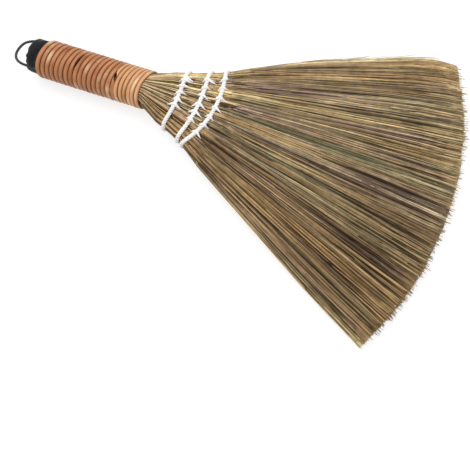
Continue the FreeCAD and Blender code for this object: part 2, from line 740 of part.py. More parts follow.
def brush(number):
    """One tuft's fibres, parted into clumps on both sides."""
    furrows = []
    for gap in range(1, CLUMPS):
        degrees = tuft_direction(number) + TUFT_ANGLE * (gap / CLUMPS - 0.5)
        furrows.append(furrow(f"furrow_{number}_{gap}_upper", upper_line(number), degrees, 1))
        furrows.append(furrow(f"furrow_{number}_{gap}_under", under_line(number), degrees, -1))
    return cut(f"brush_{number}", wedge_of_fibres(number), side_by_side(f"furrows_{number}", furrows))


brushes = [brush(number) for number in range(1, TUFTS + 1)]

doc.recompute()

# Every object must have been made, and every piece must be a sound solid, before anything is written

for item in doc.Objects:
    if "Invalid" in item.State or "Error" in item.State:
        raise RuntimeError(f"{item.Label} could not be made: {item.State}")

pieces = [wrap_strip_rear, wrap_strip_front, tie_rear, tie_front, end_cap, loop_end_upper, loop_end_lower,
          hang_loop] + bands + hitches + stalks + brushes
for piece in pieces:
    if piece.Shape.isNull() or not piece.Shape.isValid() or not piece.Shape.Solids:
        raise RuntimeError(f"{piece.Label} is not a sound solid")

os.makedirs("parts", exist_ok=True)
for piece in pieces:
    piece.Shape.exportStep(f"parts/{piece.Label}.step")
print(len(pieces), "pieces written")
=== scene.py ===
"""Hand broom of soft grass with a cane-wrapped handle: its looks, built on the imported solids."""
import math

import bpy
import numpy as np
from bpy.props import FloatProperty, FloatVectorProperty, IntProperty, PointerProperty
from mathutils import Matrix, Vector


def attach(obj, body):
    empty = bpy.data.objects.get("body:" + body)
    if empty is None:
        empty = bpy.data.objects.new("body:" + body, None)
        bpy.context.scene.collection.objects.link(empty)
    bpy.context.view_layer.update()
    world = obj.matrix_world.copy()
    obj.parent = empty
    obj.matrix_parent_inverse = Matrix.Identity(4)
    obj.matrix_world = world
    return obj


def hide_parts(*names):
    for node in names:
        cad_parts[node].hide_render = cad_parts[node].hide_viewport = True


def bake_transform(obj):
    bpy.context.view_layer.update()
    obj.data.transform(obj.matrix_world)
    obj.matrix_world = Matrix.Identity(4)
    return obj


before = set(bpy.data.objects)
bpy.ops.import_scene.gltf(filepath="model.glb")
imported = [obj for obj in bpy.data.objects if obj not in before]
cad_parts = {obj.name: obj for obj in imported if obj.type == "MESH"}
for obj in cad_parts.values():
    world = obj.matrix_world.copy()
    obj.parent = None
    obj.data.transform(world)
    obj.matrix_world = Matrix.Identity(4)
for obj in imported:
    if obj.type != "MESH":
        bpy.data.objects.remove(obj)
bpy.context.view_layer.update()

bl_info = {
    "name": "Hand Broom",
    "version": (1, 0, 0),
    "blender": (4, 5, 0),
    "location": "3D View > Sidebar > Hand Broom",
    "description": "Grass, cane, cord and cloth for a small hand broom",
    "category": "Object",
}

MM = 0.001

# Places and sizes that the solids share, in metres and degrees

FLOOR_LEVEL = 0.0
AXIS_LEVEL = 16.2 * MM            # height of the handle's axis and of the fan's middle
APEX = Vector((-106.8 * MM, 3.788 * MM, AXIS_LEVEL))
HANDLE_START = Vector((-170.314 * MM, -4.983 * MM, AXIS_LEVEL))
HANDLE_LEAN = 4.6
HANDLE_RADIUS = 16.2 * MM
WRAP_LENGTH = 91.87 * MM
INNER_CORE = 10.9 * MM            # stalks inside the rear inner tie
FRONT_INNER_CORE = 11.8 * MM      # stalks inside the front inner tie
CAP_RADIUS = 14.0 * MM
CAP_LENGTH = 10.5 * MM
FAN_HALF_ANGLE = 24.8
HALF_FAN = 8.0 * MM               # half of the fan's thickness at the stitching
TUFTS = 8
TIP_RADIUS = 287.0 * MM
TIP_SLANT = 2.6 * MM              # each tuft reaches this much further than the last
TIP_BOW = 4.0 * MM                # the outermost tips stop this much before an even slant
TIP_TOP = 13.0 * MM               # height of the upper tips above the floor
TIP_FLAT = 60.0 * MM              # length of the underside that lies on the floor
FLEX_RADIUS = 105.42 * MM
ROW_RADII = (60.0 * MM, 76.8 * MM, 86.6 * MM)
ROW_SHIFTS = (1.5 * MM, 4.4 * MM, 13.4 * MM)
ROW_BOWS = (-2.8 * MM, -1.8 * MM, 2.3 * MM)      # how far the pulled cord bows at the middle
ROW_HITCHES = (5, 6, 7)
FIRST_HITCHES = (16.75, 18.57, 19.39)
HITCH_STEP = 5.35
FURROWS = (-1.033, 1.033)         # a tuft's furrows, from its middle
FURROW_HALF_ANGLE = 0.45
FURROW_DEPTH = 2.4 * MM
LOOP_SEAT = 13.2 * MM             # the loop's cord on the cap, from the handle's axis
LOOP_UPPER_ANGLE = -17.0
LOOP_LOWER_ANGLE = 149.0
SWING_OUT = 12.0 * MM
LOOP_POINTS = ((6.0 * MM, 10.6 * MM), (10.6 * MM, 5.6 * MM), (11.4 * MM, -5.8 * MM),
               (5.6 * MM, -12.6 * MM))

# The fan's edges: radius, then the angle from the fan's axis at which the outermost fibres lie

UPPER_EDGE = ((50, 23.3), (62, 22.3), (90, 22.2), (112, 24.2), (150, 25.5), (225, 24.9), (242, 24.7),
              (254, 24.3), (264, 23.7), (273, 22.9))
LOWER_EDGE = ((50, 26.0), (62, 23.6), (78, 22.8), (92, 24.2), (105, 24.8), (225, 25.2), (283, 24.8))

# Camera and stage

CAMERA_PLACE = Vector((154.41 * MM, -91.03 * MM, 689.84 * MM))
CAMERA_BACK = Vector((0.17466, -0.02056, 0.98441))
CAMERA_UP = Vector((-0.38858, 0.91719, 0.08810))
CAMERA_ANGLE = 30.0
FLOOR_SIZE = 6.0
SKY_STRENGTH = 0.5
SUN_PLACE = (-0.2, 0.3, 1.0)
SUN_STRENGTH = 1.9
SUN_SPREAD = 50.0                 # a wide sun throws soft shadows
FLOOR_GLOW = 0.74                 # the floor looks white to the camera, as in a photo of goods

UP = Vector((0, 0, 1))
ALONG = Vector((math.cos(math.radians(HANDLE_LEAN)), math.sin(math.radians(HANDLE_LEAN)), 0))
ACROSS = UP.cross(ALONG)
TO_HANDLE = Matrix.Translation(HANDLE_START) @ Matrix((ALONG, ACROSS, UP)).transposed().to_4x4()


def linear(code):
    """An sRGB hex colour as linear red, green and blue."""
    shares = [int(code[place:place + 2], 16) / 255 for place in (1, 3, 5)]
    return tuple(share / 12.92 if share <= 0.04045 else ((share + 0.055) / 1.055) ** 2.4 for share in shares)


def length_setting(name, description, millimetres):
    """A length that the panel shows."""
    return FloatProperty(name=name, description=description, default=millimetres * MM, subtype="DISTANCE",
                         unit="LENGTH")


def colour_setting(name, description, code):
    """A colour that the panel shows."""
    return FloatVectorProperty(name=name, description=description, default=linear(code), subtype="COLOR",
                               min=0, max=1)


class BroomSizes(bpy.types.PropertyGroup):
    """Sizes and counts of the broom's soft pieces"""
    stalks: IntProperty(name="Stalks", description="Thick stalks in each tuft", default=76, min=10)
    fibres: IntProperty(name="Fibres", description="Fine fibres in each tuft", default=1000, min=300)
    strands: IntProperty(name="Strands", description="Fibres that lie free on top of each tuft's side",
                         default=40, min=10, max=150)
    stalk_radius: length_setting("Stalk Radius", "Radius of a stalk in the neck", 0.52)
    fibre_radius: length_setting("Fibre Radius", "Radius of a fibre past the stitching", 0.46)
    fray: length_setting("Fray", "How unevenly the tips end", 2.2)
    cane_rear: length_setting("Rear Cane Pitch", "Width of a turn of the rear cane strip", 4.05)
    cane_front: length_setting("Front Cane Pitch", "Width of a turn of the front cane strip", 3.45)
    row_cord: length_setting("Row Cord", "Thickness of the stitched rows' cord", 3.5)
    loop_cord: length_setting("Loop Cord", "Thickness of the hanging loop's cord", 2.3)


class BroomColours(bpy.types.PropertyGroup):
    """Colours of the broom's natural materials"""
    gold: colour_setting("Gold Grass", "Dry yellow fibres", "#A0835A")
    olive: colour_setting("Olive Grass", "Dull green-grey fibres", "#7F7A5B")
    plum: colour_setting("Plum Grass", "Purple-brown fibres", "#735C55")
    straw: colour_setting("Straw", "Palest fibres", "#C6AF86")
    cane_rear: colour_setting("Rear Cane", "Dull split cane", "#B97C51")
    cane_front: colour_setting("Front Cane", "Paler split cane", "#DBA272")


# Places

def mixed(first, second, share):
    """A blend of two values, by the share of the second."""
    return first * (1 - share) + second * share


def passed(values, first, last):
    """How far values have come from the first to the last, from 0 to 1."""
    return np.clip((values - first) / (last - first), 0, 1)


def on_handle(along, across, above):
    """A point by its place along the handle from the start of the cane, and off its axis."""
    return HANDLE_START + ALONG * along + ACROSS * across + UP * above


def outwards(degrees):
    """The direction away from the apex at an angle from the fan's axis."""
    return Vector((math.cos(math.radians(degrees)), math.sin(math.radians(degrees)), 0))


def on_fan(radius, degrees):
    """A point in the fan's middle by its radius and angle about the apex."""
    return APEX + outwards(degrees) * radius


def tuft_direction(number):
    """A tuft's middle, in degrees from the fan's axis."""
    return FAN_HALF_ANGLE - (number - 0.5) * 2 * FAN_HALF_ANGLE / TUFTS


def tip_reach(degrees):
    """Radius of the tips about the apex, at angles from the fan's axis."""
    off_middle = -np.asarray(degrees) / (2 * FAN_HALF_ANGLE / TUFTS)
    return TIP_RADIUS + TIP_SLANT * off_middle - TIP_BOW * (2 * off_middle / (TUFTS - 1)) ** 2


def row_bow(row, degrees):
    """How far a row lies from an even arc, at angles from the fan's axis."""
    return ROW_BOWS[row] * np.clip(1 - (np.asarray(degrees) / FAN_HALF_ANGLE) ** 2, 0, 1)


def row_radius(row, degrees):
    """A row's radius about the apex, at angles from the fan's axis."""
    angle = np.radians(degrees)
    half_chord = np.sqrt(ROW_RADII[row] ** 2 - (ROW_SHIFTS[row] * np.cos(angle)) ** 2)
    return ROW_SHIFTS[row] * np.sin(angle) + half_chord + row_bow(row, degrees)


def hitch_angles(row):
    """Where a row is tied down, in degrees from the fan's axis."""
    return [FIRST_HITCHES[row] - HITCH_STEP * number for number in range(ROW_HITCHES[row])]


def drawn_in(radius, degrees):
    """The angles at which fibres lie, once the fan's edges are drawn in or spread to their real line."""
    upper = np.interp(radius / MM, *zip(*UPPER_EDGE))
    lower = np.interp(radius / MM, *zip(*LOWER_EDGE))
    edge = np.where(degrees > 0, upper, lower)
    return degrees - np.sign(degrees) * (FAN_HALF_ANGLE - edge) * (np.abs(degrees) / FAN_HALF_ANGLE) ** 3


def about_apex(points):
    """Points' radii and angles about the apex."""
    away = points[:, :2] - np.array(APEX.xy)
    return np.hypot(away[:, 0], away[:, 1]), np.degrees(np.arctan2(away[:, 1], away[:, 0]))


def laid_out(radius, degrees, height):
    """Points by radius and angle about the apex, and by height above the floor."""
    angle = np.radians(degrees)
    return np.stack([APEX.x + radius * np.cos(angle), APEX.y + radius * np.sin(angle), height], -1)


# Objects

def deselect():
    bpy.ops.object.select_all(action="DESELECT")


def make_active(piece):
    deselect()
    piece.select_set(True)
    bpy.context.view_layer.objects.active = piece


def tubes(name, paths, radii, sides=0, cyclic=False, caps=True):
    """One mesh of round tubes along paths, each with a radius at every point."""
    curve = bpy.data.curves.new(name, "CURVE")
    curve.dimensions = "3D"
    curve.bevel_depth = 1.0
    curve.bevel_resolution = sides
    curve.use_fill_caps = caps and not cyclic
    for path, thick in zip(paths, radii):
        spline = curve.splines.new("POLY")
        spline.points.add(len(path) - 1)
        places = np.column_stack([path, np.ones(len(path))]).astype(np.float32)
        spline.points.foreach_set("co", places.ravel())
        spline.points.foreach_set("radius", np.asarray(thick, np.float32))
        spline.use_cyclic_u = cyclic
        spline.use_smooth = True
    piece = bpy.data.objects.new(name, curve)
    bpy.context.collection.objects.link(piece)
    make_active(piece)
    bpy.ops.object.convert(target="MESH")
    return bpy.context.object


def face_outwards(piece, close=False):
    """Make a mesh smooth, with its faces outwards and, where asked, its open ends closed."""
    make_active(piece)
    bpy.ops.object.mode_set(mode="EDIT")
    bpy.ops.mesh.select_all(action="SELECT")
    if close:
        bpy.ops.mesh.fill_holes(sides=0)
    bpy.ops.mesh.normals_make_consistent(inside=False)
    bpy.ops.object.mode_set(mode="OBJECT")
    bpy.ops.object.shade_smooth()


def finished(piece, material, slot, *nodes):
    """Give a piece its material and hide the solids that it stands for."""
    piece.data.materials.clear()
    piece.data.materials.append(material)
    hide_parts(*nodes)


def read_points(piece):
    """A mesh's points as an array."""
    return np.array([vertex.co for vertex in piece.data.vertices])


def move_points(piece, points):
    """Move a mesh's points to the places in an array."""
    piece.data.vertices.foreach_set("co", points.astype(np.float32).ravel())


def write_points(piece, name, values):
    """Keep one number for each of a piece's points."""
    attribute = piece.data.attributes.new(name, "FLOAT", "POINT")
    attribute.data.foreach_set("value", np.asarray(values, np.float32))


# Materials

def new_material(name, **inputs):
    """A material with its Principled shader, whose inputs are set by their names."""
    material = bpy.data.materials.new(name)
    material.use_nodes = True
    shader = material.node_tree.nodes["Principled BSDF"]
    for words, value in inputs.items():
        shader.inputs[words.replace("_", " ")].default_value = value
    return material, shader


def add_node(material, kind, settings=None, **links):
    """A node with its settings and with its inputs set to values or linked to other nodes' outputs."""
    node = material.node_tree.nodes.new(kind)
    for name, value in (settings or {}).items():
        setattr(node, name, value)
    for name, value in links.items():
        socket = node.inputs[int(name[1:])] if name[0] == "i" and name[1:].isdigit() else node.inputs[name]
        if isinstance(value, bpy.types.NodeSocket):
            material.node_tree.links.new(value, socket)
        else:
            socket.default_value = value
    return node


def link(material, output, socket):
    material.node_tree.links.new(output, socket)


def kept_value(material, name, output="Fac"):
    """A number or a colour that a piece's points keep."""
    return add_node(material, "ShaderNodeAttribute", {"attribute_name": name}).outputs[output]


def object_place(material):
    """Each point's place in its object."""
    return add_node(material, "ShaderNodeTexCoord").outputs["Object"]


def place_at(material, **parts):
    """A place put together from its parts."""
    return add_node(material, "ShaderNodeCombineXYZ", **parts).outputs["Vector"]


def noise(material, place, size, **more):
    """An uneven number that changes over about the given length."""
    return add_node(material, "ShaderNodeTexNoise", Vector=place, Scale=1 / size, **more).outputs["Fac"]


def ranged(material, value, first, last, low, high, way="LINEAR"):
    """A number carried from one range to another."""
    node = add_node(material, "ShaderNodeMapRange", {"interpolation_type": way}, i0=value, i1=first, i2=last,
                    i3=low, i4=high)
    return node.outputs["Result"]


def worked_out(material, operation, first, second=0.5):
    """The result of an operation on one or two numbers."""
    node = add_node(material, "ShaderNodeMath", {"operation": operation}, i0=first, i1=second)
    return node.outputs["Value"]


def lightened(material, colour, factor):
    """A colour made lighter or darker by a factor."""
    node = add_node(material, "ShaderNodeVectorMath", {"operation": "SCALE"}, i0=colour, Scale=factor)
    return node.outputs["Vector"]


def ramp(material, value, stops):
    """A colour between stops, each a place and a colour."""
    node = add_node(material, "ShaderNodeValToRGB", Fac=value)
    elements = node.color_ramp.elements
    while len(elements) < len(stops):
        elements.new(0.5)
    for element, (place, colour) in zip(elements, stops):
        element.position = place
        element.color = (*colour, 1)
    return node.outputs["Color"]


def add_bump(material, shader, height, strength, distance):
    """Fine relief on a shader's surface."""
    bump = add_node(material, "ShaderNodeBump", Height=height, Strength=strength, Distance=distance)
    link(material, bump.outputs["Normal"], shader.inputs["Normal"])


def grass_material():
    """Dried fine grass: a waxy skin, mottled along each fibre, every fibre of its own tone, with the painted
    light and shade that its points keep.
    """
    material, shader = new_material("Dried grass fibres", Roughness=0.62, IOR=1.45, Specular_IOR_Level=0.3)
    tone = kept_value(material, "fibre_colour_and_painted_light", "Color")
    mottle_size = 5 * MM
    mottle = noise(material, object_place(material), mottle_size, Detail=3.0, Roughness=0.6)
    shade = ranged(material, mottle, 0.3, 0.7, 0.78, 1.18)
    link(material, lightened(material, tone, shade), shader.inputs["Base Color"])
    return material


def cane_material(name, colour, red, straw, dark):
    """Split cane: lengthwise grain lines, patches of red and straw, a painted highlight on each turn's crown
    and painted shade where turns meet.
    """
    material, shader = new_material(name, Roughness=0.45, Specular_IOR_Level=0.35)
    along, across = kept_value(material, "strip_along"), kept_value(material, "strip_across")
    patch_length, soil_and_shade_length, line_length = 45 * MM, 38 * MM, 16 * MM
    line_width = 0.28                 # as a share of half the strip's width
    patches = noise(material, place_at(material, X=along), patch_length, Detail=3.0, Roughness=0.6)
    patch_colour = ramp(material, patches, ((0.37, red), (0.47, colour), (0.54, colour), (0.64, straw)))
    line_place = place_at(material, X=worked_out(material, "MULTIPLY", along, 1 / line_length),
                          Y=worked_out(material, "MULTIPLY", across, 1 / line_width))
    lines = noise(material, line_place, 1.0, Detail=2.0, Roughness=0.55)
    grain = ranged(material, lines, 0.3, 0.7, 0.70, 1.22)
    side = worked_out(material, "ABSOLUTE", across)
    # painted highlight on each turn's crown and painted shade towards its edges
    crown = ranged(material, side, 0.1, 0.9, 1.14, 0.82)
    grained = lightened(material, patch_colour, worked_out(material, "MULTIPLY", grain, crown))
    # painted shade where turns meet, of uneven strength along the strip, in the dark colour
    edge = ranged(material, side, 0.74, 1.0, 0.0, 1.0, "SMOOTHSTEP")
    soil_and_shade = noise(material, place_at(material, X=along, Y=1.0), soil_and_shade_length, Detail=2.0)
    painted_edge_shade = worked_out(material, "MULTIPLY", edge, ranged(material, soil_and_shade, 0.36, 0.62, 0.1, 1.0))
    tinted = add_node(material, "ShaderNodeMix", {"data_type": "RGBA"}, i0=painted_edge_shade, i6=grained, i7=(*dark, 1))
    link(material, tinted.outputs[2], shader.inputs["Base Color"])
    add_bump(material, shader, lines, 0.25, 0.2 * MM)
    return material


def cord_material(name, colour, dirt, roughness):
    """Spun cord: short fibres that soften the light, with a little unevenness of tone."""
    material, shader = new_material(name, Roughness=roughness, Sheen_Weight=0.2)
    place = object_place(material)
    yarn_width, soil_and_shade_length = 0.35 * MM, 9 * MM
    soil_and_shade = noise(material, place, soil_and_shade_length, Detail=2.0)
    link(material, ramp(material, soil_and_shade, ((0.35, dirt), (0.6, colour))), shader.inputs["Base Color"])
    add_bump(material, shader, noise(material, place, yarn_width, Detail=2.0), 0.5, 0.15 * MM)
    return material


def cloth_material():
    """Black woven cloth: matt, with a faint grey painted sheen in uneven patches."""
    material, shader = new_material("Black woven cloth", Roughness=0.9, Specular_IOR_Level=0.2,
                                    Sheen_Weight=0.15)
    place = object_place(material)
    painted_sheen_length = 4 * MM
    thread = 0.7 * MM                 # coarser than the real thread, so that it shows
    # painted sheen: patches of grey over the black
    painted_sheen = noise(material, place, painted_sheen_length, Detail=4.0)
    tones = ramp(material, painted_sheen, ((0.3, linear("#0F0F11")), (0.7, linear("#26272A"))))
    link(material, tones, shader.inputs["Base Color"])
    add_bump(material, shader, noise(material, place, thread, Detail=1.0), 0.6, 0.3 * MM)
    return material


# Stage

class BROOM_OT_stage(bpy.types.Operator):
    """Add the camera, the light and the floor"""
    bl_idname = "broom.stage"
    bl_label = "Stage"

    def execute(self, context):
        self.add_camera(context.scene)
        self.add_light(context.scene)
        self.add_floor()
        return {"FINISHED"}

    def add_camera(self, scene):
        bpy.ops.object.camera_add()
        camera = bpy.context.object
        right = CAMERA_UP.cross(CAMERA_BACK).normalized()
        up = CAMERA_BACK.cross(right).normalized()
        turn = Matrix((right, up, CAMERA_BACK.normalized())).transposed()
        camera.matrix_world = Matrix.Translation(CAMERA_PLACE) @ turn.to_4x4()
        camera.data.sensor_width = 36
        camera.data.angle = math.radians(CAMERA_ANGLE)
        camera.data.clip_end = 100
        scene.camera = camera

    def add_light(self, scene):
        scene.view_settings.view_transform = "Standard"
        world = bpy.data.worlds.new("Studio")
        scene.world = world
        world.use_nodes = True
        sky = world.node_tree.nodes["Background"]
        sky.inputs["Color"].default_value = (1, 1, 1, 1)
        sky.inputs["Strength"].default_value = SKY_STRENGTH
        bpy.ops.object.light_add(type="SUN", location=SUN_PLACE)
        key = bpy.context.object
        key.data.energy = SUN_STRENGTH
        key.data.angle = math.radians(SUN_SPREAD)
        key.rotation_euler = (-key.location).to_track_quat("-Z", "Y").to_euler()

    def add_floor(self):
        bpy.ops.mesh.primitive_plane_add(size=FLOOR_SIZE, location=(0, 0, FLOOR_LEVEL))
        floor = bpy.context.object
        floor.name = "floor"
        material, shader = new_material("Pale floor", Base_Color=(*linear("#EDEDEB"), 1), Roughness=0.9)
        ray = add_node(material, "ShaderNodeLightPath").outputs
        seen = add_node(material, "ShaderNodeBsdfDiffuse", Color=(*linear("#9A9A9A"), 1))
        glow = add_node(material, "ShaderNodeEmission", Strength=FLOOR_GLOW)
        both = add_node(material, "ShaderNodeAddShader", i0=seen.outputs[0], i1=glow.outputs[0])
        direct = worked_out(material, "MAXIMUM", ray["Is Camera Ray"], ray["Is Glossy Ray"])
        direct = worked_out(material, "MAXIMUM", direct, ray["Is Transmission Ray"])
        mix = add_node(material, "ShaderNodeMixShader", i0=direct, i1=shader.outputs[0], i2=both.outputs[0])
        link(material, mix.outputs[0], material.node_tree.nodes["Material Output"].inputs["Surface"])
        floor.data.materials.append(material)


# Cords

def smooth_line(points, steps):
    """Points along the smooth line that a route's points pull."""
    curve = bpy.data.curves.new("line", "CURVE")
    curve.dimensions = "3D"
    curve.resolution_u = steps
    spline = curve.splines.new("NURBS")
    spline.points.add(len(points) - 1)
    for point, spot in zip(spline.points, points):
        point.co = (*spot, 1)
    spline.order_u = 3
    spline.use_endpoint_u = True
    holder = bpy.data.objects.new("line", curve)
    mesh = bpy.data.meshes.new_from_object(holder)
    line = np.array([vertex.co for vertex in mesh.vertices])
    bpy.data.objects.remove(holder)
    bpy.data.curves.remove(curve)
    bpy.data.meshes.remove(mesh)
    return line


def evenly(line, gap, closed=False):
    """The same line with points about the given distance apart."""
    line = np.asarray(line, float)
    if closed:
        line = np.vstack([line, line[:1]])
    places = np.concatenate([[0], np.cumsum(np.linalg.norm(np.diff(line, axis=0), axis=1))])
    count = max(3, int(round(places[-1] / gap)) + 1)
    wanted = np.linspace(0, places[-1], count)
    even = np.column_stack([np.interp(wanted, places, line[:, axis]) for axis in range(3)])
    return even[:-1] if closed else even


def frames_along(line, closed=False):
    """Two directions square to a line at each of its points, which turn as little as they can."""
    ways = np.roll(line, -1, 0) - np.roll(line, 1, 0)
    if not closed:
        ways[0], ways[-1] = line[1] - line[0], line[-1] - line[-2]
    ways /= np.linalg.norm(ways, axis=1)[:, None]
    first = np.cross(ways[0], (0.31, 0.17, 0.93))
    firsts = []
    for way in ways:
        first = first - way * (first @ way)
        first = first / np.linalg.norm(first)
        firsts.append(first)
    firsts = np.array(firsts)
    return firsts, np.cross(ways, firsts)


def laid_rope(name, line, thickness, lay, closed=False):
    """A rope of three twisted strands along a line; lay is the length in which a strand goes round once."""
    strands = 3
    pressed = 1.12                    # laid strands press on each other and fill the gaps between them
    sine = math.sin(math.pi / strands)
    strand_radius = thickness / 2 * sine / (1 + sine)
    offset = thickness / 2 - strand_radius
    firsts, seconds = frames_along(line, closed)
    turns = np.linalg.norm(np.diff(line, axis=0), axis=1).mean() * len(line) / lay
    if closed:
        turns = round(turns)
    twist = np.linspace(0, turns * 2 * math.pi, len(line), endpoint=not closed)
    if closed:
        start, end = firsts[0], firsts[-1]
        way = np.cross(firsts[-1], seconds[-1])
        gap = math.atan2(np.dot(np.cross(end, start), way), np.dot(end, start))
        twist = twist + np.linspace(0, gap, len(line), endpoint=False)
    lines = []
    for strand in range(strands):
        angle = (twist + strand * 2 * math.pi / strands)[:, None]
        lines.append(line + offset * (np.cos(angle) * firsts + np.sin(angle) * seconds))
    radii = [np.full(len(line), strand_radius * pressed)] * strands
    return tubes(name, lines, radii, sides=2, cyclic=closed)


def loop_seat(degrees, along):
    """The middle of the loop's cord at one of its ends, at a place along the handle."""
    angle = math.radians(degrees)
    return on_handle(along, LOOP_SEAT * math.cos(angle), LOOP_SEAT * math.sin(angle))


class BROOM_OT_hanging_loop(bpy.types.Operator):
    """Lay the twisted cord of the hanging loop and of its two ends on the cap"""
    bl_idname = "broom.hanging_loop"
    bl_label = "Hanging Loop"

    def execute(self, context):
        sizes = context.scene.broom_sizes
        black = cord_material("Black spun cord", linear("#46484B"), linear("#232427"), 0.75)
        upper, lower = loop_seat(LOOP_UPPER_ANGLE, -SWING_OUT), loop_seat(LOOP_LOWER_ANGLE, -SWING_OUT)
        middle, axis = (upper + lower) / 2, (upper - lower).normalized()
        lead = ALONG * 1.2 * MM
        turns = [middle - ALONG * out + axis * side for out, side in LOOP_POINTS]
        route = [upper + lead] + turns + [lower + lead]
        line = smooth_line(route, 12)
        loop = laid_rope("hang_loop_cord", evenly(line, 0.5 * MM), sizes.loop_cord, lay=5 * MM)
        finished(loop, black, "loop_cord", "hang_loop")
        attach(loop, "hang_loop")
        for name, degrees in (("upper", LOOP_UPPER_ANGLE), ("lower", LOOP_LOWER_ANGLE)):
            ends = [loop_seat(degrees, place) for place in (-CAP_LENGTH - 0.3 * MM, 0.2 * MM)]
            end = laid_rope(f"loop_cord_{name}_end", evenly(ends, 0.5 * MM), sizes.loop_cord, lay=5 * MM)
            finished(end, black, "loop_cord", f"loop_end_{name}")
            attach(end, "handle")
        return {"FINISHED"}


class BROOM_OT_end_cap(bpy.types.Operator):
    """Sew the black cloth cap over the butt"""
    bl_idname = "broom.end_cap"
    bl_label = "End Cap"

    def execute(self, context):
        deselect()
        bpy.ops.mesh.primitive_uv_sphere_add(segments=96, ring_count=48, radius=1.0)
        cap = bpy.context.object
        cap.name = "cloth_cap"
        points = read_points(cap)
        around = np.arctan2(points[:, 1], points[:, 0])
        down = np.arccos(np.clip(points[:, 2], -1, 1)) / math.pi
        move_points(cap, self.folded(around, down))
        cap.data.transform(TO_HANDLE)
        face_outwards(cap)
        finished(cap, cloth_material(), "cap_cloth", "end_cap")
        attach(cap, "handle")
        return {"FINISHED"}

    def folded(self, around, down):
        """The cap's points: a drum with a soft rim, gathers in its end and slack folds in its side."""
        rim = 4.2 * MM
        face, bend = 0.3, 0.55
        to_rim = passed(down, 0, face)
        round_rim = passed(down, face, bend) * math.pi / 2
        past_rim = passed(down, bend, 1)
        wide = (CAP_RADIUS - rim) * to_rim + rim * np.sin(round_rim)
        tuck = 8 * MM
        along = -CAP_LENGTH + rim * (1 - np.cos(round_rim)) + past_rim * (CAP_LENGTH - rim + tuck)
        wide = wide - 1.6 * MM * passed(past_rim, 0.5, 0.75)
        gathers = 0.45 * MM * np.sin(11 * around + 1.3 * np.sin(3 * around)) * np.sin(round_rim * 2)
        folds = np.sin(5 * around + 2.1 + 9 * past_rim * np.sin(2 * around))
        folds = 0.4 * MM * folds * np.sin(past_rim * math.pi)
        lumps = 0.35 * MM * np.sin(7 * around + 0.7) * np.sin(round_rim * 2)
        wide = wide + (folds + lumps) * to_rim
        along = along - gathers
        return np.column_stack([along, wide * np.cos(around), wide * np.sin(around)])


# Cane

SLANT = 4.6                       # how far a turn slants, in millimetres
CREST_ANGLE, CREST_SPREAD = 118, 75               # where it slants least, in degrees round the handle
OPEN_GAPS = ((7, 78, 24, 0.42), (12, 205, 12, 0.30))      # rear turn, angle, spread and opening


def wrap_lean(along, degrees):
    """How far the slanting turns lie from an even winding, by place along the handle and angle round it."""
    share = along / WRAP_LENGTH
    off_crest = (degrees - CREST_ANGLE + 180) % 360 - 180
    slant = (0.75 + 0.25 * np.clip(share * 3, 0, 1)) * SLANT * (1 - np.exp(-(off_crest / CREST_SPREAD) ** 2))
    return (-1.1 + 2.2 * share + slant) * MM


def wrap_end(degrees):
    """Where the front strip's last turn ends, along the handle, by angle round it."""
    nominal = WRAP_LENGTH - 2.2 * MM
    return nominal + wrap_lean(nominal, degrees)


